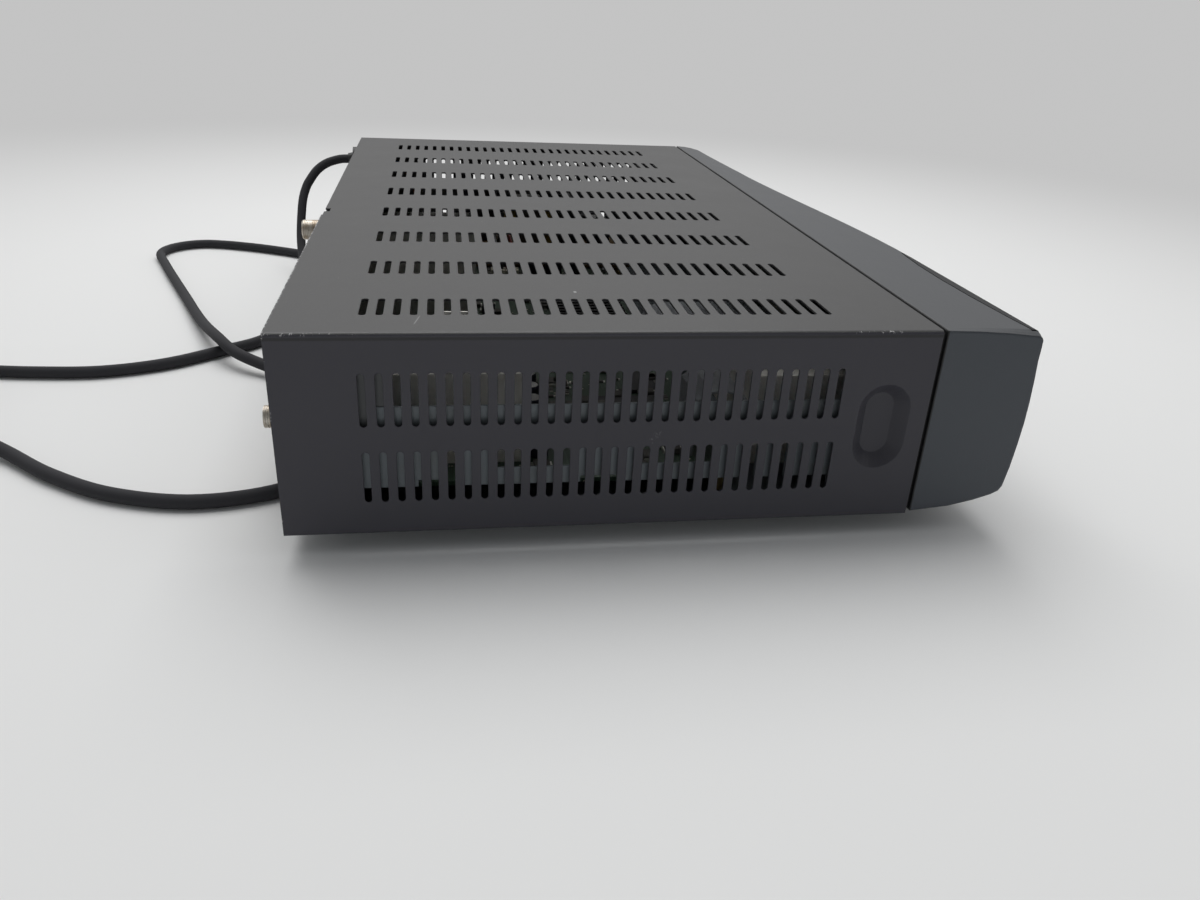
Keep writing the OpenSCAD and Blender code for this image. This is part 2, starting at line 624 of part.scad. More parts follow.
module capacitor(x, y, z, r, h) translate([x, y, z]) {
    cylinder(r = r, h = h - 0.6);
    translate([0, 0, h - 0.6 - tiny]) cylinder(r1 = r, r2 = r - 0.5, h = 0.6);
}
module board_capacitors() color("#2b2f4a") {
    for (i = [0:4]) capacitor(main_x0 + 20 + i * 13, can_y0 - 5, deck_z, 4, 12);
    for (i = [0:3]) capacitor(f_x - 48 + i * 12, tuner_y0 - 6, deck_z, 3.2, 11);
    for (i = [0:3]) capacitor(main_x1 - 14, main_y0 + 26 + i * 14, deck_z, 5, 16);
}
module tuner_can() color("#b9bab4") {
    slab(f_x - 7, tuner_y0, deck_z, f_x + 7, panel_y - sheet - clear, lip_z + 65);
}
module aerial_sockets() color("#b8ad98") for (z = f_zs) difference() {
    union() {
        rod_y(f_x, z, f_r, panel_y - sheet - clear, rear_y + f_reach - 0.7);
        translate([f_x, rear_y + f_reach - 0.7 - tiny, z]) rotate([-90, 0, 0]) cylinder(r1 = f_r, r2 = f_r - 0.6, h = 0.7);
        translate([f_x, panel_y + 2.6, z]) rotate([90, 0, 0]) cylinder(r = 6.4, h = 2.6 - tiny, $fn = 6);
    }
    rod_y(f_x, z, 1.4, panel_y + 4, rear_y + f_reach + 2);
}
module screening_can() color("#b9b5a6") {
    slab(-side_x + 26, can_y0, deck_z, -side_x + 66, can_y0 + 50, lip_z + 47);
    // Earth spring that reaches up to the cover
    slab(-side_x + 25.4, can_y0 + 19.5, lip_z + 40, -side_x + 26 + tiny, can_y0 + 29.5, top_z - sheet - 0.5);
}
module phono_block() color("#1b1b1c") difference() {
    slab(phono_x - 8, panel_y - sheet - 14, deck_z, phono_x + (phono_count - 1) * phono_pitch + 8, panel_y - sheet - snug, phono_z + 8);
    for (i = [0:phono_count - 1])
        rod_y(phono_x + i * phono_pitch, phono_z, phono_r + snug, panel_y - sheet - 5, panel_y);
}
module phono_sockets() color("#c0b7a6") for (i = [0:phono_count - 1]) difference() {
    rod_y(phono_x + i * phono_pitch, phono_z, phono_r, panel_y - sheet - 5, rear_y + phono_reach);
    rod_y(phono_x + i * phono_pitch, phono_z, 1.6, panel_y + 2, rear_y + phono_reach + 1);
}
module scart_sockets() color("#1b1b1c") for (x = scart_xs) difference() {
    union() {
        slab(x - scart_w / 2, panel_y - sheet - 18, scart_z - scart_h / 2, x + scart_w / 2, panel_y, scart_z + scart_h / 2);
        slab(x - scart_w / 2, panel_y - sheet - 18, deck_z, x + scart_w / 2, panel_y - sheet - 6, scart_z);
        slab(x - scart_w / 2 - 6, panel_y - sheet - 3, scart_z - 6, x + scart_w / 2 + 6, panel_y - sheet - snug, scart_z + 6);
    }
    difference() {
        translate([x, 0, scart_z]) forward(panel_y + 1, panel_y - 12) round_shape(scart_w - 3, scart_h - 3, 2);
        translate([x, 0, scart_z]) forward(panel_y + 2, panel_y - 14) round_shape(scart_w - 8, scart_h - 8, 1);
    }
}
module data_socket() color("#9a9da0") {
    slab(data_x - 15, panel_y - sheet - 12, deck_z, data_x + 15, panel_y - sheet - snug, data_z + 6);
    translate([data_x, 0, data_z]) forward(rear_y + 5, panel_y - sheet - 1) round_shape(17, 8.6, 2.6);
}

// ---- The power board ----
module power_board() color("#a5824a") difference() {
    slab(power_x0, power_y0, board_z, power_x1, power_y1, deck_z);
    post_holes(power_posts);
}
core_x = power_x0 + 42;
core_y = power_y0 + 62;
module transformer_core() color("#4a4744") difference() {
    slab(core_x - 17, core_y - 9, deck_z + 4, core_x + 17, core_y + 9, deck_z + 32);
    slab(core_x - 11.5, core_y - 10, deck_z + 9, core_x + 11.5, core_y + 10, deck_z + 27);
}
module transformer_coil() color("#c9a227") {
    slab(core_x - 11.2, core_y - 13, deck_z + 9.3, core_x + 11.2, core_y + 13, deck_z + 26.7);
    for (s = [-1, 1]) slab(core_x - 13, core_y + s * 13 - 2, deck_z, core_x + 13, core_y + s * 13 + 2, deck_z + 28);
}
module mains_capacitor() color("#23262e") capacitor(power_x0 + 72, power_y0 + 92, deck_z, 11, 34);
module output_capacitors() color("#2b2f4a") {
    for (i = [0:3]) capacitor(power_x0 + 18 + i * 16, power_y0 + 16, deck_z, 5, 20);
}
module power_heat_sink() color("#8f959a") {
    slab(power_x0 + 10, power_y0 + 32, deck_z, power_x0 + 74, power_y0 + 34, deck_z + 32);
    for (i = [0:6]) slab(power_x0 + 12 + i * 9.6, power_y0 + 34 - tiny, deck_z + 2, power_x0 + 13.6 + i * 9.6, power_y0 + 42, deck_z + 32);
}
module power_transistors() color("#1f2022") for (x = [24, 58]) difference() {
    slab(power_x0 + x - 5, power_y0 + 27.4, deck_z + 12, power_x0 + x + 5, power_y0 + 32 - snug, deck_z + 27);
    rod_y(power_x0 + x, deck_z + 24, 1.6, power_y0 + 20, power_y0 + 33);
}
module fuse_axis() {
    translate([power_x1 - 12, power_y1 - 46, deck_z + 6]) rotate([-90, 0, 0]) children();
}
module mains_fuse() color("#d9dcd6") fuse_axis() cylinder(r = 2.6, h = 20);
module fuse_clips() color("#b8a878") for (y = [0, 14]) difference() {
    translate([power_x1 - 16, power_y1 - 46 + y, deck_z]) cube([8, 6, 9]);
    translate([power_x1 - 12, power_y1 - 47 + y, deck_z + 6]) rotate([-90, 0, 0]) cylinder(r = 2.6 + snug, h = 8);
    translate([power_x1 - 14, power_y1 - 47 + y, deck_z + 6]) cube([4, 8, 6]);
}
module mains_filter() color("#d8b23c") {
    slab(power_x0 + 10, power_y1 - 34, deck_z, power_x0 + 27, power_y1 - 16, deck_z + 15);
    slab(power_x0 + 34, power_y1 - 32, deck_z, power_x0 + 54, power_y1 - 16, deck_z + 20);
}

// ---- Wiring ----
ribbon_x0 = -side_x + 140;
ribbon_w = 26;
ribbon_t = 0.9;
module ribbon_headers() color("#e2ddcc") {
    slab(ribbon_x0 - 2, board_face_y + board_t, lip_z + 22, ribbon_x0 + ribbon_w + 2, board_face_y + board_t + 7, lip_z + 30);
    slab(ribbon_x0 - 2, main_y0 + 3, deck_z, ribbon_x0 + ribbon_w + 2, main_y0 + 10, deck_z + 7);
}
module ribbon_cable() color("#9ea3a8") {
    y0 = board_face_y + board_t + 7;
    y1 = main_y0 + 6.5;
    z0 = lip_z + 26;
    z1 = deck_z + 7;
    translate([ribbon_x0, 0, 0]) rotate([90, 0, 90]) linear_extrude(ribbon_w) polygon([
        [y0, z0], [y0 + 8, z0], [y0 + 12, z0 + 3], [y1 - 8, z1 + 9], [y1 - 3, z1 + 7], [y1 - ribbon_t / 2, z1 + 3], [y1 - ribbon_t / 2, z1],
        [y1 + ribbon_t / 2, z1], [y1 + ribbon_t / 2, z1 + 3.4], [y1 - 2.4, z1 + 8], [y1 - 8, z1 + 10], [y0 + 11, z0 + 4], [y0 + 8, z0 + ribbon_t], [y0, z0 + ribbon_t]
    ]);
}
// Flat cable from the card reader's back down to the board
module card_ribbon() color("#c9cbc8") {
    y0 = seam_y + 56;
    y1 = main_y0 + 14;
    z0 = lip_z + 33;
    t = ribbon_t;
    translate([(flap_x0 + flap_x1) / 2 - 28, 0, 0]) rotate([90, 0, 90]) linear_extrude(ribbon_w) polygon([
        [y0, z0], [y0 + 3, z0 + 1], [y0 + 6, z0 + 4.2], [y0 + 10, z0 + 5],
        [y1 - 5, z0 + 4.5], [y1 - 1, z0 + 1], [y1, z0 - 5], [y1, deck_z],
        [y1 + t, deck_z], [y1 + t, z0 - 4.6], [y1 - 0.2, z0 + 1.8], [y1 - 4.6, z0 + 5.4],
        [y0 + 10, z0 + 5 + t], [y0 + 5.4, z0 + 4.9], [y0 + 2.6, z0 + 1.9], [y0, z0 + t]
    ]);
}
lead_y = main_y0 + 70;
module lead_headers() color("#e2ddcc") {
    slab(main_x1 - 30, lead_y - 8, deck_z, main_x1 - 23, lead_y + 8, deck_z + 7);
    slab(power_x0 + 3, lead_y - 8, deck_z, power_x0 + 10, lead_y + 8, deck_z + 7);
}
module power_leads() color("#b03a2e") for (i = [0:3]) {
    y = lead_y - 4.5 + i * 3;
    a = main_x1 - 26.5;
    b = power_x0 + 6.5;
    tube(smooth_line([[a, y, deck_z + 7], [a + 1, y, deck_z + 13], [a + 9, y, deck_z + 19], [(a + b) / 2, y, deck_z + 20],
        [b - 9, y, deck_z + 19], [b - 1, y, deck_z + 13], [b, y, deck_z + 7]], 2), 0.8, 6, [0, 1, 0]);
}
module mains_leads() color("#6b4a2b") for (s = [-1, 1]) {
    x = gland_x - 6 + s * 3;
    out_y = panel_y - sheet - 16;
    tube(smooth_line([[gland_x + s * 1.4, out_y, gland_z], [gland_x - 1 + s * 1.8, out_y - 8, gland_z - 2],
        [x, out_y - 16, gland_z - 10], [x, out_y - 19, gland_z - 22], [x, out_y - 20, deck_z + 8], [x, out_y - 20, deck_z]], 2), 1.1, 8, [1, 0, 0]);
}
module strain_relief() color("#19191a") difference() {
    union() {
        rod_y(gland_x, gland_z, gland_r, panel_y - sheet - snug, panel_y + snug);
        rod_y(gland_x, gland_z, gland_r + 1.6, panel_y - sheet - 4, panel_y - sheet);
        rod_y(gland_x, gland_z, gland_r + 2.2, panel_y, rear_y + 3.6);
        translate([gland_x, rear_y + 3.6 - tiny, gland_z]) rotate([-90, 0, 0]) cylinder(r1 = 4.4, r2 = 3.6, h = 3.5);
        translate([gland_x, panel_y - sheet - 4 + tiny, gland_z]) rotate([90, 0, 0]) cylinder(r1 = 6, r2 = 4.4, h = 12);
    }
}
cord_line = smooth_line(concat(route_out, coil, route_back), route_steps);
echo("cord length, mm", round(length_of(cord_line)));
echo("cord's least gap to itself, mm", least_between(cord_line, 8) - cord_d);
module mains_cord() color("#1a1a1b") tube(cord_line, cord_r, 8);
// A strap round the coil's stacked turns
module cord_tie() color("#1f1f20") {
    tie_z = lie + coil_rise * (0.25 + floor(coil_turns) / 2);
    tie_h = floor(coil_turns) * coil_rise + cord_d;
    translate([coil_at[0], coil_at[1] + coil_r, tie_z]) rotate([90, 0, 90]) linear_extrude(tie_w, center = true) difference() {
        round_shape(cord_d + 2 * tie_t - 2 * snug, tie_h + 2 * tie_t - 2 * snug, cord_r + tie_t - snug * 2);
        round_shape(cord_d - 2 * snug, tie_h - 2 * snug, cord_r - snug * 2);
    }
}
module plug_disc(x, z, r) {
    translate([x, plug_y, z]) rotate([0, 90, 0]) cylinder(r = r, h = 0.4, $fn = 32);
}
module mains_plug() color("#1a1a1b") {
    end_x = plug_tip_x - boot_len;
    hull() {
        plug_disc(plug_tip_x - 0.4, lie + 0.6, cord_r + 0.5);
        plug_disc(end_x - 1, plug_h / 2, 5.4);
    }
    hull() {
        for (y = [-1, 1] * (plug_w / 2 - 5), z = [-1, 1] * (plug_h / 2 - 4))
            translate([end_x - 22, plug_y + y, plug_h / 2 + z]) rotate([0, 90, 0]) cylinder(r = 4, h = 10, $fn = 32);
        plug_disc(end_x - 1, plug_h / 2, 5.4);
    }
}
module plug_pins() color("#c9c6bb") for (y = [-9.3, 9.3]) {
    translate([plug_tip_x - 36, plug_y + y, plug_h / 2]) rotate([0, -90, 0]) cylinder(r = 2, h = 18.5);
}

top_cover();
chassis_tray();
rear_panel();
rubber_feet();
foot_screws();
cover_screws();
front_bezel();
front_flap();
display_window();
light_pipe();
power_button();
up_button();
down_button();
menu_button();
ok_button();
power_stem();
up_stem();
down_stem();
menu_stem();
ok_stem();
tact_switches();
front_board();
display_module();
infrared_sensor();
card_reader();
main_board();
board_standoffs();
board_screws();
processor_chip();
chip_heat_sink();
memory_chips();
board_capacitors();
tuner_can();
aerial_sockets();
screening_can();
phono_block();
phono_sockets();
scart_sockets();
data_socket();
power_board();
transformer_core();
transformer_coil();
mains_capacitor();
output_capacitors();
power_heat_sink();
power_transistors();
mains_fuse();
fuse_clips();
mains_filter();
ribbon_cable();
card_ribbon();
ribbon_headers();
power_leads();
lead_headers();
mains_leads();
strain_relief();
mains_cord();
cord_tie();
mains_plug();
plug_pins();
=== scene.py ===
"""Finishes, small fittings, cord and studio for a satellite TV receiver.

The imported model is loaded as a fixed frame. Lengths are in metres unless a comment says otherwise, the front
faces -Y and the feet stand on z = 0.
"""

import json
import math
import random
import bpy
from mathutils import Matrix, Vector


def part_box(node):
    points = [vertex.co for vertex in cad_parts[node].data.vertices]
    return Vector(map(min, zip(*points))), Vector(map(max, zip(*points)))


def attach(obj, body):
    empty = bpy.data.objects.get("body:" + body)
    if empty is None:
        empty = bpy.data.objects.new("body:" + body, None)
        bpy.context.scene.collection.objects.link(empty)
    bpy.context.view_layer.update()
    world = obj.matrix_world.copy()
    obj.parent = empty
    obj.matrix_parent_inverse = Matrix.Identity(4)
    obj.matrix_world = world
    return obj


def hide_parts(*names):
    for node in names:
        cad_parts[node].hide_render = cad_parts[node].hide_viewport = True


bl_info = {
    "name": "Satellite receiver finish",
    "version": (1, 0, 0),
    "blender": (4, 5, 0),
    "location": "View3D > Sidebar > Receiver",
    "description": "Painted steel, moulded plastic, boards, cord and studio for a satellite TV receiver",
    "category": "Object",
}

import bmesh
import bpy
from bpy.props import FloatProperty, FloatVectorProperty, IntProperty, PointerProperty
from mathutils import Matrix, Vector

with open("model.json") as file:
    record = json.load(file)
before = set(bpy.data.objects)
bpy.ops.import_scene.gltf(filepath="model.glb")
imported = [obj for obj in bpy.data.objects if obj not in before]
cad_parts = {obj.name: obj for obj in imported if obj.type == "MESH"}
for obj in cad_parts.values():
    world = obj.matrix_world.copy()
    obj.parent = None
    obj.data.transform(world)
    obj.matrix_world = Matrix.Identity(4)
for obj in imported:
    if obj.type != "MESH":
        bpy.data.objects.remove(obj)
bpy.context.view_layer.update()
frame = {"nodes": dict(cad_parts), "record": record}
NODES = frame["nodes"]
COVER_LOW, COVER_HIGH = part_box("top_cover")
PANEL_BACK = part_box("rear_panel")[1].y
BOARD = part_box("main_board")
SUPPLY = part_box("power_board")
MM = 1000  # millimetres in a metre

# The camera that took the picture: where it stood, its three directions, and its lens in millimetres
CAMERA_PLACE = (-0.4849, 0.0683, 0.1760)
CAMERA_RIGHT = (-0.15273, -0.98708, 0.04849)
CAMERA_UP = (0.44069, -0.02411, 0.89734)
CAMERA_AHEAD = (0.88457, -0.15842, -0.43867)
CAMERA_LENS = 28.03
CAMERA_SENSOR = 36
CAMERA_NEAR = 0.01

# Lamps: name, place, width, and share of the overhead lamp's power. All aim at a point in the case
LAMPS = (
    ("overhead", (0.8, 0.12, 1.82), 1.9, 1),
    ("fill", (-0.2, -1.1, 1.0), 1.2, 0.06),
    ("low", (-1.3, 0.05, 0.25), 0.9, 0.045),
)
LAMP_AIM = Vector((0, 0, 0.03))
ROOM_DIM = 0.27
ROOM_TINTS = (0.9, 0.95, 1.0), (1.0, 0.985, 0.965)
FLOOR_RADIUS = 9
FLOOR_DROP = 0.0001
FLOOR_FADE = (0.2, 1.0)

# The brown mains lead lies left of this place, and the blue one right of it
MAINS_LEAD_PARTING = 0.177

# Marks on the cover's paint
SCUFF_Y, SCUFF_Z = -0.0005, 0.0415
SCRATCH_X, SCRATCH_Y = -0.192, 0.0778
SPECK_X, SPECK_Y = -0.1607, 0.0225

# The cord's route as in the part's source, in millimetres: out to a small coil, and back to the plug
CORD_LIE = 2.85
CORD_OUT = [
    (183, 131, 68), (182.8, 137, 67.5), (181.2, 144.8, 65.2), (178.7, 151, 61.2), (175.3, 155.5, 55.8),
    (171.6, 158.8, 50), (165, 161, 41), (152, 161.8, 23.5), (138, 160, 12), (120, 157.4, 5),
    (96, 155.4, 3), (30, 155.5, CORD_LIE), (4, 165.5, CORD_LIE), (-11, 182, CORD_LIE), (-29, 205, CORD_LIE),
    (-38.5, 232, CORD_LIE), (-38.5, 262, CORD_LIE), (-35.5, 288, CORD_LIE),
]
CORD_BACK = [
    (-102, 290, 16.2), (-111, 264, 8), (-126, 240, 3.55), (-146, 217, CORD_LIE), (-163, 190, CORD_LIE),
    (-170, 158, CORD_LIE), (-160, 127, CORD_LIE), (-132, 110, CORD_LIE), (-98, 112, 2.95), (-66, 127, 3.25),
    (-45, 148.5, 4.4), (-28.5, 170.5, 7.6), (-9, 183.6, 9.4), (30, 200.5, 5.4), (80.5, 220.1, 3.25),
    (130, 240, 2.95), (163, 252.9, CORD_LIE), (173.9, 257.2, CORD_LIE), (182, 258.9, CORD_LIE),
    (191.7, 257.5, CORD_LIE), (200.3, 252.4, CORD_LIE), (206.4, 244.7, CORD_LIE), (209.1, 235.6, CORD_LIE),
    (208.4, 226.5, CORD_LIE), (204.8, 213, CORD_LIE), (196.7, 192.5, CORD_LIE), (185, 170, CORD_LIE),
    (172, 150.5, CORD_LIE), (150, 139, CORD_LIE),
]
COIL_AT = (-66, 316)
COIL_RADIUS = 32
COIL_TURNS = 2.5
COIL_POINTS = 12
COIL_RISE = 6.3

# The plug's ring points, and the ribs on its boot
PLUG_POINTS = 32
RIB_POINTS = 24
RIB_COUNT = 4
RIB_PITCH = 0.0026
# Half length and change of radius along one rib
RIB_PROFILE = (0.0007, -0.0008), (0.0004, 0), (-0.0004, 0), (-0.0007, -0.0008)

# Small soldered parts: the draw's seed, how many are tried on each board, and their length, width and height
SEED = 11
TRIES_MAIN, TRIES_SUPPLY = 420, 70
SMALL_PART = (0.0032, 0.0016, 0.0008)
LARGE_PART = (0.006, 0.005, 0.0022)
SMALL_SHARE = 0.7
SOLDER_END = 0.0009
BOARD_RIM = 0.006
BOARD_BACK_RIM = 0.012
PART_GAP = 0.003

# An insulator's profile round a phono barrel: how far out of the panel, and how far out of the barrel
INSULATOR_PROFILE = (
    (0, 0.0001), (0, 0.0030), (0.0008, 0.0034), (0.0018, 0.0032), (0.0024, 0.0024), (0.0024, 0.0001),
)
INSULATOR_POINTS = 40
INSULATOR_TONES = (0.62, 0.45, 0.03), (0.72, 0.7, 0.64), (0.5, 0.03, 0.025)


# ---- Sizes and colours that a user would change ----
def colour_setting(name, default, description):
    return FloatVectorProperty(
        name=name, description=description, subtype="COLOR", size=3, min=0, max=1, default=default
    )


class ReceiverPaint(bpy.types.PropertyGroup):
    cover: colour_setting("Cover", (0.0425, 0.0425, 0.043), "Colour of the painted steel cover")
    bezel: colour_setting("Bezel", (0.052, 0.056, 0.062), "Colour of the moulded front")
    grain: FloatProperty(
        name="Grain", description="Size of the paint's grain", default=0.0007, min=0.0002, max=0.003,
        unit="LENGTH",
    )
    wear: FloatProperty(
        name="Wear", description="How much paint is chipped off the folds", default=0.5, min=0, max=1,
        subtype="FACTOR",
    )


class ReceiverCord(bpy.types.PropertyGroup):
    diameter: FloatProperty(
        name="Diameter", description="Diameter of the mains cord", default=0.0056, min=0.004, max=0.007,
        unit="LENGTH",
    )
    steps: IntProperty(
        name="Steps", description="Points between two places on the cord's route", default=8, min=2, max=16
    )


class ReceiverStudio(bpy.types.PropertyGroup):
    floor: colour_setting("Floor", (0.8, 0.803, 0.8), "Colour of the floor")
    far: colour_setting("Background", (0.55, 0.55, 0.55), "Colour of the background")
    overhead: FloatProperty(
        name="Overhead", description="Power of the soft lamp above", default=32, min=0, max=200, unit="POWER"
    )
    ambient: FloatProperty(
        name="Ambient", description="Strength of the light from all round", default=0.56, min=0, max=2
    )


# ---- Shader sums written as Python ----
class Tap:
    """One output socket of a shader tree, which sums can be written with."""

    def __init__(self, tree, socket):
        self.tree = tree
        self.socket = socket

    def sum(self, operation, *values):
        return self.tree.node("Math", {"operation": operation}, dict(enumerate(values)))

    def __add__(self, other):
        return self.sum("ADD", self, other)

    def __radd__(self, other):
        return self.sum("ADD", other, self)

    def __sub__(self, other):
        return self.sum("SUBTRACT", self, other)

    def __rsub__(self, other):
        return self.sum("SUBTRACT", other, self)

    def __mul__(self, other):
        return self.sum("MULTIPLY", self, other)

    def __rmul__(self, other):
        return self.sum("MULTIPLY", other, self)

    def __truediv__(self, other):
        return self.sum("DIVIDE", self, other)

    def __abs__(self):
        return self.sum("ABSOLUTE", self)

    def sine(self):
        return self.sum("SINE", self)

    def root(self):
        return self.sum("SQRT", self)

    def fraction(self):
        return self.sum("FRACT", self)

    def over(self, limit):
        return self.sum("GREATER_THAN", self, limit)

    def under(self, limit):
        return self.sum("LESS_THAN", self, limit)

    def ease(self, start, end):
        """0 before start and 1 past end, smooth in between."""
        sockets = {"Value": self, "From Min": start, "From Max": end}
        return self.tree.node("MapRange", {"interpolation_type": "SMOOTHSTEP"}, sockets)


class NodeTree:
    """A shader tree whose nodes are made through one method."""

    def __init__(self, tree):
        self.tree = tree

    def feed(self, socket, value):
        """Links a socket to a tap, or sets it to a value."""
        if isinstance(value, Tap):
            self.tree.links.new(value.socket, socket)
        elif socket.type == "RGBA":
            socket.default_value = (*value[:3], 1)
        else:
            socket.default_value = value

    def node(self, kind, settings=None, sockets=None, out=0):
        """Makes a node and gives its output as a tap, or the node itself where out is None."""
        made = self.tree.nodes.new("ShaderNode" + kind)
        for key, value in (settings or {}).items():
            setattr(made, key, value)
        for key, value in (sockets or {}).items():
            self.feed(made.inputs[key], value)
        return made if out is None else Tap(self, made.outputs[out])

    def outputs(self, tap, count=3):
        """The first sockets of the node that a tap comes from."""
        return [Tap(self, tap.socket.node.outputs[i]) for i in range(count)]

    def bigger(self, a, b):
        return a.sum("MAXIMUM", a, b)

    def mix(self, factor, a, b):
        """One colour passing into another."""
        return self.node("Mix", {"data_type": "RGBA"}, {0: factor, 6: a, 7: b}, out=2)


class Finish(NodeTree):
    """A material of one surface shader."""

    def __init__(self, name, **constants):
        self.material = bpy.data.materials.new(name)
        self.material.use_nodes = True
        super().__init__(self.material.node_tree)
        self.shader = self.tree.nodes["Principled BSDF"]
        self.set(**constants)
        self.place = self.node("TexCoord", out=3)

    def set(self, **values):
        """Feeds the surface shader's sockets by their names in lower case."""
        for key, value in values.items():
            self.feed(self.shader.inputs[key.replace("_", " ").title().replace("Ior", "IOR")], value)

    def noise(self, size, detail=2, rough=0.5, where=None):
        """Noise whose lumps are about size across."""
        sockets = {"Vector": where or self.place, "Scale": 1 / size, "Detail": detail, "Roughness": rough}
        return self.node("TexNoise", None, sockets)

    def stretched(self, x, y, z):
        return self.node("VectorMath", {"operation": "MULTIPLY"}, {0: self.place, 1: (x, y, z)})

    def axes(self):
        """The place in the piece's own frame as three numbers."""
        return self.outputs(self.node("SeparateXYZ", None, {0: self.place}))

    def facing(self):
        """The surface's direction as three numbers."""
        return self.outputs(self.node("SeparateXYZ", None, {0: self.node("NewGeometry", out=1)}))

    def bump(self, height, depth, strength=1.0, normal=None):
        sockets = {"Height": height, "Distance": depth, "Strength": strength}
        if normal is not None:
            sockets["Normal"] = normal
        return self.node("Bump", None, sockets)

    def oval(self, u, v, rim):
        """1 in the middle of an oval that is 1 wide each way, and 0 outside it."""
        return (1 - (u * u + v * v)).ease(0, rim)

    def soft_edges(self, radius):
        return self.node("Bevel", {"samples": 6}, {"Radius": radius})


# ---- Finishes ----
def tinted(colour, *factors):
    return tuple(min(1, c * k) for c, k in zip(colour, factors))


def shade(colour, factor):
    return tinted(colour, factor, factor, factor)


def cover_paint(colour, grain, wear):
    """Fine-grained paint, worn at the rear corner and the front of the left fold, with a few scuffs, a darker,
    bluer tint painted on the sides for the light they get, and a painted dark line below the left fold.
    """
    f = Finish("cover_paint", specular_ior_level=0.42)
    x, y, z = f.axes()
    high = COVER_HIGH
    lumps = f.noise(grain, 3, 0.6)
    cloud = f.noise(0.05, 4, 0.6)
    left = x.under(0)
    top = z.over(high.z - 0.0005)

    # Chips along the left fold, at its rear and near its front
    fold = abs(x).ease(high.x - 0.0011, high.x - 0.0004) * z.ease(high.z - 0.0012, high.z - 0.0004) * left
    worn = f.bigger(y.ease(0.094, 0.101), y.ease(-0.086, -0.08) * (1 - y.ease(-0.067, -0.061)))
    chips = f.noise(0.0011, 4, 0.7).ease(0.64 - 0.1 * wear, 0.68 - 0.1 * wear) * fold * worn
    # Bare steel at the rear edge, mostly by its left corner
    rim = y.ease(high.y - 0.0006, high.y - 0.0001)
    corner = rim * left * z.over(0.07) * f.noise(0.0022, 4, 0.7).ease(0.5, 0.58)
    rim = rim * f.noise(0.006, 4, 0.7).ease(0.58, 0.64) * 0.4
    bare = f.bigger(f.bigger(chips, corner * 0.8), rim)

    # A scuff on the left side that leans forward as it rises
    rise = z - SCUFF_Z
    scuff = f.oval((y - SCUFF_Y + rise * 0.55) / 0.002, rise / 0.0042, 0.9) * x.under(-0.2)
    scuff = scuff * f.noise(0.0009, 5, 0.75).ease(0.52, 0.66)
    # A faint scratch, a pale speck and dust on the top
    along = x - SCRATCH_X
    across = y - SCRATCH_Y + along * 0.2
    scratch = (1 - abs(along / 0.005)).ease(0, 0.4) * (1 - abs(across / 0.0003)).ease(0, 0.6)
    speck = f.oval((x - SPECK_X) / 0.0011, (y - SPECK_Y) / 0.0007, 0.6)
    cell = f.node("TexVoronoi", None, {"Vector": f.place, "Scale": 160})
    pick = f.node("SeparateColor", None, {0: f.outputs(cell)[1]})
    dust = cell.under(0.035) * pick.over(0.86)
    marks = f.bigger(scuff * 0.14, f.bigger(scratch * top * 0.3, f.bigger(speck * top * 0.6, dust * 0.35)))
    # A painted dark line below the left fold, standing in for the dark room that the fold reflects there
    painted_fold_shade = z.ease(high.z - 0.0026, high.z - 0.0021) * (1 - z.ease(high.z - 0.0016, high.z - 0.0011))

    base = f.mix(cloud, shade(colour, 0.86), shade(colour, 1.16))
    base = f.mix(lumps.ease(0.35, 0.75) * 0.5, base, shade(colour, 1.6))
    # Painted light: the sides get a darker, bluer tint for the bluish light that falls on them
    base = f.mix(1 - top, base, tinted(colour, 0.92, 0.9, 1.12))
    base = f.mix(marks, base, (0.5, 0.5, 0.5))
    # Painted shade below the left fold
    base = f.mix(painted_fold_shade * left * 0.8, base, shade(colour, 0.3))
    base = f.mix(bare, base, (0.62, 0.62, 0.62))
    f.set(base_color=base, roughness=0.36 + cloud * 0.14 + lumps * 0.05, metallic=bare * 0.6)
    f.set(normal=f.bump(lumps, 0.00004, 0.55, f.soft_edges(0.0005)))
    return f.material


def moulded(name, colour, rough=0.5, grain=0.0006, depth=0.00005, edge=0.0008, specular=0.5, seam=None):
    """Moulded plastic with a fine grain and softly rounded edges.

    One with a seam gets a bluer tint painted on its sides for the light they get, and painted shade towards
    the seam and on faces that look back into a gap.
    """
    f = Finish(name, specular_ior_level=specular)
    sockets = {"Vector": f.place, "Scale": 1 / grain, "Smoothness": 0.6}
    cell = f.node("TexVoronoi", {"feature": "SMOOTH_F1"}, sockets)
    cloud = f.noise(0.03, 4, 0.6)
    fine = f.noise(grain * 2.2, 3, 0.6)
    base = f.mix(cloud, shade(colour, 0.88), shade(colour, 1.12))
    base = f.mix(fine.ease(0.5, 0.8) * 0.25, base, shade(colour, 1.4))
    if seam is not None:
        # Painted light: a bluer tint on faces that don't look up, and painted shade in the seam's gap
        _, backward, upward = f.facing()
        base = f.mix((1 - upward.ease(0.3, 0.9)) * 0.7, base, tinted(colour, 1, 1.1, 1.22))
        painted_gap_shade = f.bigger(f.axes()[1].ease(seam - 0.0005, seam), backward.over(0.7))
        base = f.mix(painted_gap_shade, base, shade(colour, 0.12))
    f.set(base_color=base, roughness=rough - 0.06 + cloud * 0.1 + fine * 0.04)
    f.set(normal=f.bump(cell, depth, 0.5, f.soft_edges(edge)))
    return f.material


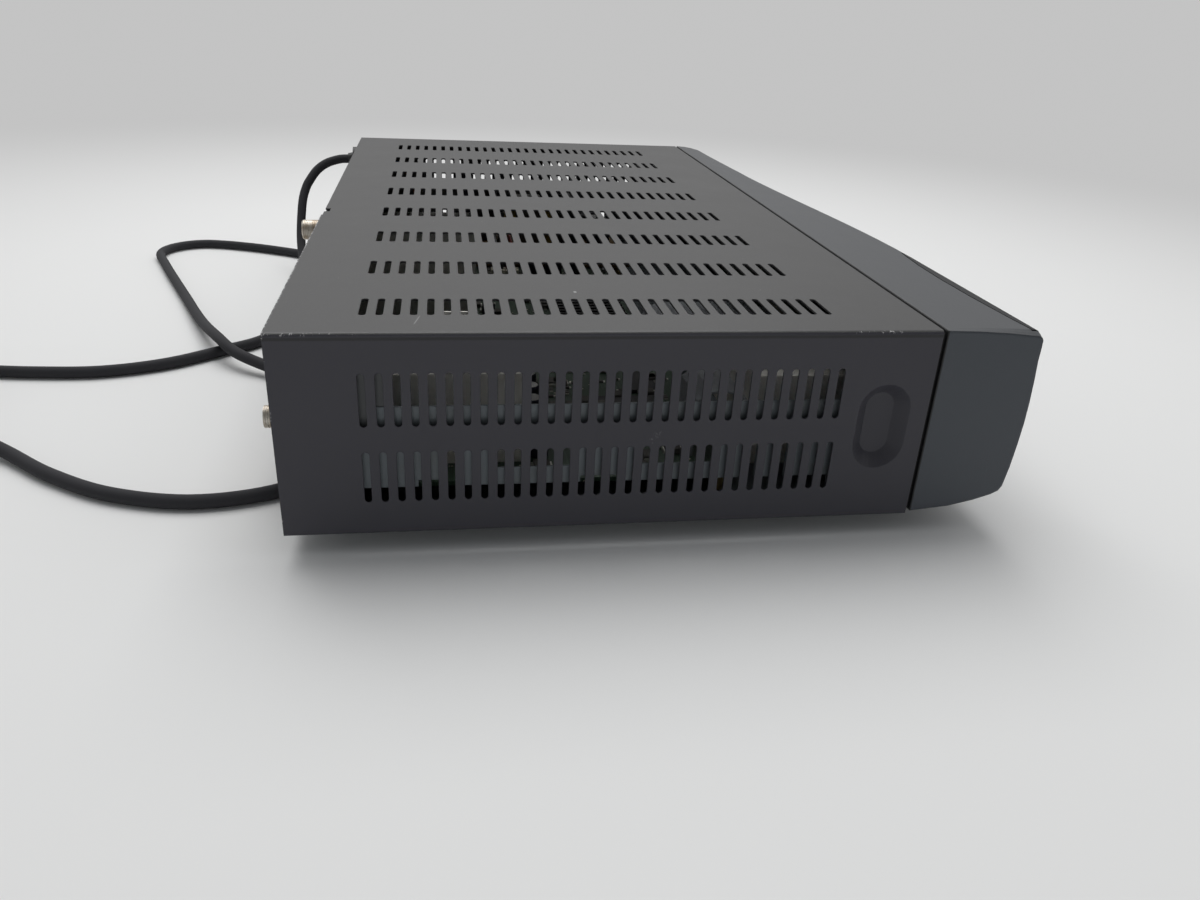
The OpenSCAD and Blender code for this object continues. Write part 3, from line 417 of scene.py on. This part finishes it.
def sheet_metal(name, colour, rough=0.38, metallic=0.85, spangle=0.006, edge=0.0004):
    """Plated sheet: soft spangle, faint rolling lines and a little tarnish."""
    f = Finish(name, specular_ior_level=0.5, metallic=metallic)
    flakes = f.node("TexVoronoi", None, {"Vector": f.place, "Scale": 1 / spangle}, out=1)
    tone = f.node("SeparateColor", None, {0: flakes})
    rolled = f.noise(0.0009, 2, 0.5, f.stretched(1, 0.05, 1))
    tarnish = f.noise(0.02, 5, 0.65)
    base = f.mix(tone * 0.5, shade(colour, 0.92), shade(colour, 1.06))
    base = f.mix(tarnish.ease(0.45, 0.75) * 0.5, base, tinted(colour, 0.72, 0.66, 0.56))
    f.set(base_color=base, roughness=rough - 0.08 + rolled * 0.12 + tone * 0.06)
    f.set(normal=f.bump(rolled, 0.00002, 0.4, f.soft_edges(edge)))
    return f.material


def turned_metal(name, colour, rough=0.28, pitch=0.0008, depth=0.00012, edge=0.0003):
    """Plated turnings: rings along the barrel, two tones and brown staining."""
    f = Finish(name, metallic=0.9)
    y = f.axes()[1]
    rings = (y * (2 * math.pi / pitch)).sine()
    stain = f.noise(0.004, 5, 0.7)
    out = y - PANEL_BACK
    band = out.ease(0.004, 0.0055) * (1 - out.ease(0.0085, 0.0095))
    base = f.mix(stain.ease(0.4, 0.75), colour, tinted(colour, 0.62, 0.5, 0.36))
    base = f.mix(band * 0.55, base, tinted(colour, 0.5, 0.4, 0.3))
    f.set(base_color=base, roughness=rough + stain * 0.2)
    f.set(normal=f.bump(rings, depth, 0.5, f.soft_edges(edge)))
    return f.material


def circuit_board(name, mask, copper, pitch=0.0016):
    """Solder mask over tracks, with pads and drilled holes between them."""
    f = Finish(name, specular_ior_level=0.55)
    brick = f.node("TexBrick", {"offset": 0.35, "squash": 0.6, "squash_frequency": 3}, {
        "Vector": f.place, "Scale": 1, "Brick Width": pitch * 7, "Row Height": pitch,
        "Mortar": (1, 1, 1), "Mortar Size": pitch * 0.16, "Mortar Smooth": 0.1,
        "Color1": (0, 0, 0), "Color2": (0.35, 0.35, 0.35),
    })
    zone = f.node("TexVoronoi", None, {"Vector": f.place, "Scale": 55}, out=1)
    pick = f.node("SeparateColor", None, {0: zone})
    tracks = f.node("SeparateColor", None, {0: brick}) * pick.ease(0.25, 0.5)
    holes = f.node("TexVoronoi", None, {"Vector": f.place, "Scale": 1 / (pitch * 2.6), "Randomness": 0.85})
    pads = holes.under(0.16)
    drill = holes.under(0.07)
    flux = f.noise(0.012, 4, 0.6)
    base = f.mix(tracks * 0.55, mask, shade(mask, 1.7))
    base = f.mix(flux.ease(0.5, 0.8) * 0.3, base, shade(mask, 0.7))
    base = f.mix(pads, base, copper)
    base = f.mix(drill, base, (0.02, 0.02, 0.02))
    f.set(base_color=base, roughness=0.34 + flux * 0.18, metallic=pads * (1 - drill) * 0.8)
    f.set(normal=f.bump(tracks + pads, 0.00006, 0.6))
    return f.material


def resin(name, colour, rough=0.5):
    """Moulded chip resin: matt, with a faint swirl."""
    f = Finish(name)
    swirl = f.noise(0.004, 5, 0.6)
    fine = f.noise(0.0004, 2, 0.5)
    base = f.mix(swirl, shade(colour, 0.8), shade(colour, 1.3))
    f.set(base_color=base, roughness=rough + fine * 0.15)
    f.set(normal=f.bump(fine, 0.00002, 0.5, f.soft_edges(0.0003)))
    return f.material


def sleeve(name, colour, stripe):
    """A capacitor's shrink sleeve with a pale stripe, and bare aluminium on its top."""
    f = Finish(name)
    rightward, _, upward = f.facing()
    up = upward.over(0.9)
    creases = f.noise(0.0012, 3, 0.6)
    base = f.mix(rightward.over(0.86), colour, stripe)
    base = f.mix(up, base, (0.36, 0.36, 0.355))
    f.set(base_color=base, roughness=0.3 + creases * 0.14, metallic=up * 0.9)
    f.set(normal=f.bump(creases, 0.00003, 0.5, f.soft_edges(0.0005)))
    return f.material


def rubber(name, colour, rough=0.55, grain=0.0005):
    """Soft moulded rubber or sheath with fine drag lines and handling dust."""
    f = Finish(name, specular_ior_level=0.45)
    fine = f.noise(grain, 3, 0.6)
    dusty = f.noise(0.015, 5, 0.7)
    base = f.mix(dusty.ease(0.4, 0.8) * 0.6, colour, shade(colour, 2.0))
    f.set(base_color=base, roughness=rough - 0.08 + dusty * 0.16)
    f.set(normal=f.bump(fine, 0.00003, 0.5))
    return f.material


def smoked(name):
    """Smoked acrylic: near black, glossy, with a faint wipe haze."""
    f = Finish(name, coat_roughness=0.04, coat_weight=0.6)
    haze = f.noise(0.02, 5, 0.7)
    base = f.mix(haze, (0.006, 0.006, 0.008), (0.012, 0.011, 0.014))
    f.set(base_color=base, roughness=0.08 + haze.ease(0.45, 0.8) * 0.14)
    return f.material


def clear_part(name, colour, alpha, rough=0.08):
    """Clear moulded plastic or glass, seen as a tinted see-through shell."""
    f = Finish(name, ior=1.5)
    haze = f.noise(0.003, 4, 0.6)
    base = f.mix(haze, colour, shade(colour, 0.85))
    f.set(base_color=base, roughness=rough + haze * 0.06, alpha=alpha + haze * 0.1)
    return f.material


def fabric_tape(name, colour):
    """Polyester tape wound in overlapping turns."""
    f = Finish(name)
    laps = (f.axes()[2] / 0.0042).fraction()
    crease = f.noise(0.003, 4, 0.7)
    base = f.mix(crease, shade(colour, 0.85), shade(colour, 1.12))
    base = f.mix(laps.under(0.08) * 0.5, base, shade(colour, 0.5))
    f.set(base_color=base, roughness=0.24 + crease * 0.16)
    f.set(normal=f.bump(laps + crease, 0.00012, 0.5, f.soft_edges(0.0005)))
    return f.material


def flat_cable(name, colour):
    """Grey flat cable whose conductors run from end to end."""
    f = Finish(name)
    x = f.axes()[0]
    wires = (x * (2 * math.pi / 0.00127)).sine()
    first = abs(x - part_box("ribbon_cable")[0].x).under(0.0013)
    soil = f.noise(0.01, 4, 0.6)
    # Painted shade in the grooves between conductors, and painted light along their ridges
    base = f.mix(wires.ease(-0.6, 0.9), shade(colour, 0.72), shade(colour, 1.08))
    base = f.mix(first, base, (0.5, 0.05, 0.04))
    base = f.mix(soil.ease(0.5, 0.8) * 0.4, base, shade(colour, 0.7))
    f.set(base_color=base, roughness=0.42 + soil * 0.12)
    f.set(normal=f.bump(wires, 0.0002, 0.6))
    return f.material


def insulated(name, near, far, at):
    """Insulated leads of two colours, told apart by where they run."""
    f = Finish(name)
    x, y, _ = f.axes()
    soil = f.noise(0.006, 4, 0.6)
    base = f.mix(at(x, y), near, far)
    base = f.mix(soil.ease(0.45, 0.8) * 0.35, base, (0.03, 0.03, 0.03))
    f.set(base_color=base, roughness=0.36 + soil * 0.12)
    f.set(normal=f.bump(soil, 0.00004, 0.5))
    return f.material


def every_finish(paint):
    """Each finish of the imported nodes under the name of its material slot, and the flap's own."""
    lead_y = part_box("power_leads")[0].y
    bezel = paint.bezel
    return {
        "cover_paint": cover_paint(paint.cover, paint.grain, paint.wear),
        "tray_steel": sheet_metal("tray_steel", (0.15, 0.17, 0.185), rough=0.42, metallic=0.4, spangle=0.009),
        "panel_steel": sheet_metal(
            "panel_steel", (0.095, 0.1, 0.104), rough=0.45, metallic=0.2, spangle=0.02
        ),
        "tin_can": sheet_metal("tin_can", (0.9, 0.88, 0.82), rough=0.4, metallic=0.1, spangle=0.012),
        "heat_sink_metal": sheet_metal(
            "heat_sink_metal", (0.035, 0.035, 0.037), rough=0.42, metallic=0.3, spangle=0.03
        ),
        "zinc_screw": sheet_metal(
            "zinc_screw", (0.4, 0.41, 0.42), rough=0.34, metallic=0.95, spangle=0.002, edge=0.0002
        ),
        "nickel": turned_metal("nickel", (0.58, 0.54, 0.48)),
        "brass": turned_metal("brass", (0.7, 0.54, 0.26), rough=0.3, pitch=0.002, depth=0.00003),
        "bezel_plastic": moulded("bezel_plastic", bezel, rough=0.46, edge=0.0014, seam=COVER_LOW.y - 0.0017),
        # The flap's dark tone is painted shade for the deep gap round it
        "flap_plastic_painted_shade": moulded("flap_plastic_painted_shade", shade(bezel, 0.3), rough=0.5, edge=0.0006, specular=0.25),
        "key_plastic": moulded("key_plastic", shade(bezel, 1.35), rough=0.4, edge=0.0006),
        "black_screw": moulded("black_screw", (0.035, 0.035, 0.038), rough=0.35, edge=0.0003),
        "black_plastic": moulded("black_plastic", (0.022, 0.022, 0.023), rough=0.5, edge=0.0004),
        "cream_plastic": moulded("cream_plastic", (0.74, 0.7, 0.58), rough=0.42, edge=0.0004),
        "smoked_window": smoked("smoked_window"),
        "clear_pipe": clear_part("clear_pipe", (0.75, 0.84, 0.79), 0.5),
        "glass_tube": clear_part("glass_tube", (0.85, 0.88, 0.86), 0.35),
        "foot_rubber": rubber("foot_rubber", (0.03, 0.03, 0.031), rough=0.7),
        "cord_rubber": rubber("cord_rubber", (0.02, 0.02, 0.0205), rough=0.46, grain=0.0009),
        "green_board": circuit_board("green_board", (0.03, 0.06, 0.035), (0.6, 0.58, 0.5)),
        "tan_board": circuit_board("tan_board", (0.2, 0.13, 0.06), (0.6, 0.6, 0.58), pitch=0.003),
        "chip_resin": resin("chip_resin", (0.028, 0.028, 0.03)),
        "module_body": resin("module_body", (0.02, 0.021, 0.024), rough=0.42),
        "ferrite": resin("ferrite", (0.07, 0.066, 0.06), rough=0.6),
        "capacitor_sleeve": sleeve("capacitor_sleeve", (0.014, 0.015, 0.03), (0.4, 0.41, 0.43)),
        "yellow_tape": fabric_tape("yellow_tape", (0.4, 0.27, 0.03)),
        "ribbon": flat_cable("ribbon", (0.42, 0.44, 0.47)),
        "lead_red": insulated(
            "lead_red", (0.25, 0.025, 0.02), (0.03, 0.03, 0.035), lambda x, y: y.over(lead_y + 0.005)
        ),
        "lead_brown": insulated(
            "lead_brown", (0.2, 0.08, 0.03), (0.03, 0.09, 0.32), lambda x, y: x.over(MAINS_LEAD_PARTING)
        ),
    }


# ---- Mesh helpers ----
CORNERS = (-1, -1), (1, -1), (1, 1), (-1, 1)


def ring_of(points):
    """Angles all round, as many as there are points."""
    return [2 * math.pi * i / points for i in range(points)]


def dressed(obj, finish):
    """Gives a piece its finish, and lets it ride on the case."""
    obj.data.materials.clear()
    obj.data.materials.append(finish)
    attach(obj, "case")


def mesh_piece(name, build):
    """An object whose mesh a function builds."""
    bm = bmesh.new()
    build(bm)
    mesh = bpy.data.meshes.new(name)
    bm.normal_update()
    bm.to_mesh(mesh)
    bm.free()
    obj = bpy.data.objects.new(name, mesh)
    bpy.context.scene.collection.objects.link(obj)
    return obj


def loft(bm, rings, closed_ends=True):
    """Joins rings of as many points each into one skin."""
    rows = [[bm.verts.new(p) for p in ring] for ring in rings]
    for a, b in zip(rows, rows[1:]):
        for i in range(len(a)):
            j = (i + 1) % len(a)
            bm.faces.new((a[i], a[j], b[j], b[i])).smooth = True
    if closed_ends:
        bm.faces.new(list(reversed(rows[0])))
        bm.faces.new(rows[-1])
    return rows


def chip_block(bm, centre, size, chamfer):
    """A small block whose upper edges are chamfered."""
    cx, cy, cz = centre
    sx, sy, sz = (s / 2 for s in size)
    rows = []
    for height, inset in ((-sz, 0), (sz - chamfer, 0), (sz, chamfer)):
        dx, dy = sx - inset, sy - inset
        rows.append([bm.verts.new((cx + i * dx, cy + j * dy, cz + height)) for i, j in CORNERS])
    for lower, upper in zip(rows, rows[1:]):
        for i in range(4):
            j = (i + 1) % 4
            bm.faces.new((lower[i], lower[j], upper[j], upper[i]))
    bm.faces.new(rows[-1])
    bm.faces.new(list(reversed(rows[0])))


def smooth_line(points, steps):
    """The same smooth line through the given points as in the part's source."""
    line = []
    last = len(points) - 1
    for i in range(last):
        a, b, c, d = (Vector(points[max(0, min(last, i + k))]) for k in (-1, 0, 1, 2))
        for k in range(steps):
            t = k / steps
            start = 2 * b + (c - a) * t + (2 * a - 5 * b + 4 * c - d) * t * t
            line.append(0.5 * (start + (3 * b - a - 3 * c + d) * t ** 3))
    line.append(Vector(points[last]))
    return line


def cord_line(steps):
    """The cord's centreline in metres, from the strain relief over the coil to the plug."""
    coil = []
    for i in range(int(COIL_TURNS * COIL_POINTS) + 1):
        a = 2 * math.pi * i / COIL_POINTS
        x, y = COIL_AT[0] + COIL_RADIUS * math.cos(a), COIL_AT[1] + COIL_RADIUS * math.sin(a)
        coil.append((x, y, CORD_LIE + i * COIL_RISE / COIL_POINTS))
    return [p / MM for p in smooth_line(CORD_OUT + coil + CORD_BACK, steps)]


def cord_curve(line, radius):
    curve = bpy.data.curves.new("mains_lead", "CURVE")
    curve.dimensions = "3D"
    curve.bevel_depth = radius
    curve.bevel_resolution = 5
    curve.use_fill_caps = True
    spline = curve.splines.new("POLY")
    spline.points.add(len(line) - 1)
    for point, place in zip(spline.points, line):
        point.co = (*place, 1)
    spline.use_smooth = True
    return curve


def plug_middle():
    low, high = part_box("mains_plug")
    return (low + high) / 2


def build_plug(bm):
    """The plug's moulding and boot, as rings from the cord to the pins' face."""
    middle = plug_middle()
    tip = CORD_BACK[-1][0] / MM
    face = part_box("mains_plug")[0].x
    # Place, half width, half height and height of the middle at each station
    stations = [
        (tip, 0.0031, 0.0031, CORD_LIE / MM), (tip - 0.003, 0.0038, 0.0036, 0.0036),
        (tip - 0.010, 0.0046, 0.0046, 0.0050), (tip - 0.0135, 0.0062, 0.0052, 0.0062),
        (tip - 0.0165, 0.0098, 0.0058, 0.0066), (tip - 0.021, 0.0115, 0.0065, middle.z),
        (face + 0.003, 0.0119, 0.0067, middle.z), (face + 0.001, 0.0118, 0.0066, middle.z),
        (face, 0.0112, 0.0060, middle.z),
    ]
    rings = []
    for x, wide, tall, z in stations:
        # The boot is round, and the body nearly square with soft corners
        power = 0.55 if wide > 0.006 else 1
        ring = []
        for a in ring_of(PLUG_POINTS):
            c, s = math.cos(a), math.sin(a)
            y = middle.y + wide * math.copysign(abs(c) ** power, c)
            ring.append((x, y, max(0.0004, z + tall * math.copysign(abs(s) ** power, s))))
        rings.append(ring)
    loft(bm, rings)


def build_ribs(bm):
    """The ribs round the plug's boot, none below the floor."""
    middle_y = plug_middle().y
    for k in range(RIB_COUNT):
        x = CORD_BACK[-1][0] / MM - 0.0025 - k * RIB_PITCH
        z = CORD_LIE / MM + 0.0006 + k * 0.0005
        rings = []
        for dx, dr in RIB_PROFILE:
            r = 0.0043 + k * 0.0003 + dr
            rings.append([
                (x + dx, middle_y + r * math.cos(a), max(0.0003, z + r * math.sin(a)))
                for a in ring_of(RIB_POINTS)
            ])
        loft(bm, rings)


def part_spots():
    """Free places on both boards, each with a small part's turn and size."""
    rng = random.Random(SEED)
    large = (
        "processor_chip", "chip_heat_sink", "tuner_can", "screening_can", "phono_block", "card_ribbon",
        "transformer_core", "transformer_coil", "mains_capacitor", "power_heat_sink",
    )
    taken = [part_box(name) for name in large]

    def hits(x, y, low, high):
        return low.x - PART_GAP < x < high.x + PART_GAP and low.y - PART_GAP < y < high.y + PART_GAP

    spots = []
    for low, high, tries in ((*BOARD, TRIES_MAIN), (*SUPPLY, TRIES_SUPPLY)):
        for _ in range(tries):
            x = rng.uniform(low.x + BOARD_RIM, high.x - BOARD_RIM)
            y = rng.uniform(low.y + BOARD_RIM, high.y - BOARD_BACK_RIM)
            if not any(hits(x, y, *box) for box in taken):
                size = SMALL_PART if rng.random() < SMALL_SHARE else LARGE_PART
                spots.append((x, y, high.z, rng.random() < 0.5, *size))
    return spots


# ---- Operators ----
class RECEIVER_OT_studio(bpy.types.Operator):
    """Set the camera, the floor, the room and the lamps"""

    bl_idname = "receiver.studio"
    bl_label = "Studio"

    def execute(self, context):
        studio = context.scene.receiver_studio
        self.set_camera(context)
        self.lay_floor(studio)
        self.light_room(context, studio)
        for name, place, size, share in LAMPS:
            data = bpy.data.lights.new(name, "AREA")
            data.shape = "SQUARE"
            data.size = size
            data.energy = studio.overhead * share
            lamp = bpy.data.objects.new(name, data)
            context.scene.collection.objects.link(lamp)
            lamp.location = place
            lamp.rotation_mode = "QUATERNION"
            lamp.rotation_quaternion = (LAMP_AIM - Vector(place)).to_track_quat("-Z", "Y")
        context.scene.view_settings.view_transform = "Standard"
        return {"FINISHED"}

    def set_camera(self, context):
        camera = bpy.data.objects.new("camera", bpy.data.cameras.new("camera"))
        context.scene.collection.objects.link(camera)
        camera.data.sensor_width = CAMERA_SENSOR
        camera.data.lens = CAMERA_LENS
        camera.data.clip_start = CAMERA_NEAR
        turn = Matrix((CAMERA_RIGHT, CAMERA_UP, -Vector(CAMERA_AHEAD))).transposed().to_4x4()
        camera.matrix_world = Matrix.Translation(CAMERA_PLACE) @ turn
        context.scene.camera = camera

    def lay_floor(self, studio):
        """A card that passes into the plain background away from the receiver."""
        floor = mesh_piece(
            "floor", lambda bm: bmesh.ops.create_circle(bm, cap_ends=True, radius=FLOOR_RADIUS, segments=64)
        )
        f = Finish("floor_card", roughness=0.75, specular_ior_level=0.2)
        x, y, _ = f.axes()
        away = (x * x + y * y).root()
        paper = f.noise(0.15, 4, 0.6)
        f.set(base_color=f.mix(paper, shade(studio.floor, 0.99), shade(studio.floor, 1.01)))
        far = f.node("Emission", None, {"Color": studio.far, "Strength": 1})
        faded = f.node("MixShader", None, {0: away.ease(*FLOOR_FADE), 1: Tap(f, f.shader.outputs[0]), 2: far})
        f.feed(f.tree.nodes["Material Output"].inputs["Surface"], faded)
        floor.data.materials.append(f.material)
        floor.location.z = -FLOOR_DROP

    def light_room(self, context, studio):
        """A room, bright beyond the receiver and dim behind the camera, seen as a plain background."""
        world = context.scene.world or bpy.data.worlds.new("room")
        context.scene.world = world
        world.use_nodes = True
        world.node_tree.nodes.clear()
        room = NodeTree(world.node_tree)
        toward = room.outputs(room.node("SeparateXYZ", None, {0: room.node("TexCoord")}))[0]
        beyond = toward.ease(-0.7, 0.7)
        bright = ROOM_DIM + beyond * (1 - ROOM_DIM)
        rays = room.node("LightPath").socket.node.outputs
        camera_ray, glossy_ray, clear_ray = (
            Tap(room, rays[name]) for name in ("Is Camera Ray", "Is Glossy Ray", "Is Transmission Ray")
        )
        light = room.node(
            "Background", None, {"Color": room.mix(beyond, *ROOM_TINTS), "Strength": bright * studio.ambient}
        )
        shown = room.node(
            "Background", None, {"Color": studio.far, "Strength": room.bigger(bright, camera_ray * 0.99)}
        )
        plain = room.bigger(room.bigger(camera_ray, glossy_ray), clear_ray)
        mixed = room.node("MixShader", None, {0: plain, 1: light, 2: shown})
        room.feed(room.node("OutputWorld", out=None).inputs["Surface"], mixed)


class RECEIVER_OT_cord(bpy.types.Operator):
    """Lay the mains cord and mould its plug"""

    bl_idname = "receiver.cord"
    bl_label = "Cord and plug"

    def execute(self, context):
        cord = context.scene.receiver_cord
        rubber_finish = bpy.data.materials["cord_rubber"]
        line = cord_line(cord.steps)
        lead = bpy.data.objects.new("mains_lead", cord_curve(line, cord.diameter / 2))
        context.scene.collection.objects.link(lead)
        dressed(lead, rubber_finish)
        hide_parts("mains_cord")

        body = mesh_piece("plug_body", build_plug)
        dressed(body, rubber_finish)
        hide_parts("mains_plug")

        ribs = mesh_piece("plug_boot_ribs", build_ribs)
        dressed(ribs, rubber_finish)
        length = sum((b - a).length for a, b in zip(line, line[1:]))
        return {"FINISHED"}


class RECEIVER_OT_finishes(bpy.types.Operator):
    """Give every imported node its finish"""

    bl_idname = "receiver.finishes"
    bl_label = "Finishes"

    def execute(self, context):
        finishes = every_finish(context.scene.receiver_paint)
        chosen = {row["node"]: row["material_slot"] for row in frame["record"]["subparts"]}
        # The flap is painted darker than the front around it, as painted shade for the deep gap round it
        chosen["front_flap"] = "flap_plastic_painted_shade"
        for name, node in NODES.items():
            node.data.materials.clear()
            node.data.materials.append(finishes[chosen[name]])
        return {"FINISHED"}


class RECEIVER_OT_small_parts(bpy.types.Operator):
    """Scatter the small soldered parts over both boards"""

    bl_idname = "receiver.small_parts"
    bl_label = "Small parts"

    def execute(self, context):
        spots = part_spots()

        def bodies(bm):
            for x, y, z, turned, long, wide, tall in spots:
                size = (wide, long, tall) if turned else (long, wide, tall)
                chip_block(bm, (x, y, z + tall / 2), size, tall * 0.15)

        def ends(bm):
            for x, y, z, turned, long, wide, tall in spots:
                for side in (-1, 1):
                    reach = side * (long / 2 + 0.0004)
                    dx, dy = (0, reach) if turned else (reach, 0)
                    span = (wide * 0.9, SOLDER_END) if turned else (SOLDER_END, wide * 0.9)
                    chip_block(bm, (x + dx, y + dy, z + tall * 0.3), (*span, tall * 0.6), tall * 0.1)

        dressed(mesh_piece("soldered_parts", bodies), bpy.data.materials["ferrite"])
        dressed(mesh_piece("solder_joints", ends), bpy.data.materials["tin_can"])
        return {"FINISHED"}


class RECEIVER_OT_phono_rings(bpy.types.Operator):
    """Fit the coloured insulators round the phono barrels"""

    bl_idname = "receiver.phono_rings"
    bl_label = "Phono insulators"

    def execute(self, context):
        low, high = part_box("phono_sockets")
        radius = (high.z - low.z) / 2
        centre_z = (high.z + low.z) / 2
        pitch = (high.x - low.x - 2 * radius) / 2
        for i, tone in enumerate(INSULATOR_TONES):
            x = low.x + radius + i * pitch

            def washer(bm, x=x):
                rings = []
                for out, wider in INSULATOR_PROFILE:
                    r = radius + wider
                    rings.append([
                        (x + r * math.cos(a), PANEL_BACK + out, centre_z + r * math.sin(a))
                        for a in ring_of(INSULATOR_POINTS)
                    ])
                rows = loft(bm, rings, closed_ends=False)
                for k in range(INSULATOR_POINTS):
                    j = (k + 1) % INSULATOR_POINTS
                    bm.faces.new((rows[-1][k], rows[-1][j], rows[0][j], rows[0][k]))
                bmesh.ops.recalc_face_normals(bm, faces=bm.faces)

            ring = mesh_piece("phono_insulator_%d" % i, washer)
            dressed(ring, moulded("insulator_%d" % i, tone, rough=0.4, edge=0.0003))
        return {"FINISHED"}


STEPS = ("studio", "finishes", "cord", "small_parts", "phono_rings")


class RECEIVER_PT_panel(bpy.types.Panel):
    """The receiver's settings and steps"""

    bl_idname = "RECEIVER_PT_panel"
    bl_label = "Satellite receiver"
    bl_space_type = "VIEW_3D"
    bl_region_type = "UI"
    bl_category = "Receiver"

    def draw(self, context):
        for group in ("receiver_paint", "receiver_cord", "receiver_studio"):
            settings = getattr(context.scene, group)
            box = self.layout.box()
            for key in settings.__annotations__:
                box.prop(settings, key)
        for step in STEPS:
            self.layout.operator("receiver." + step)


CLASSES = (
    ReceiverPaint, ReceiverCord, ReceiverStudio, RECEIVER_OT_studio, RECEIVER_OT_cord, RECEIVER_OT_finishes,
    RECEIVER_OT_small_parts, RECEIVER_OT_phono_rings, RECEIVER_PT_panel,
)


def register():
    for cls in CLASSES:
        bpy.utils.register_class(cls)
    bpy.types.Scene.receiver_paint = PointerProperty(type=ReceiverPaint)
    bpy.types.Scene.receiver_cord = PointerProperty(type=ReceiverCord)
    bpy.types.Scene.receiver_studio = PointerProperty(type=ReceiverStudio)


def unregister():
    del bpy.types.Scene.receiver_studio
    del bpy.types.Scene.receiver_cord
    del bpy.types.Scene.receiver_paint
    for cls in reversed(CLASSES):
        bpy.utils.unregister_class(cls)


def main():
    register()
    for step in STEPS:
        getattr(bpy.ops.receiver, step)()


if __name__ == "__main__":
    main()
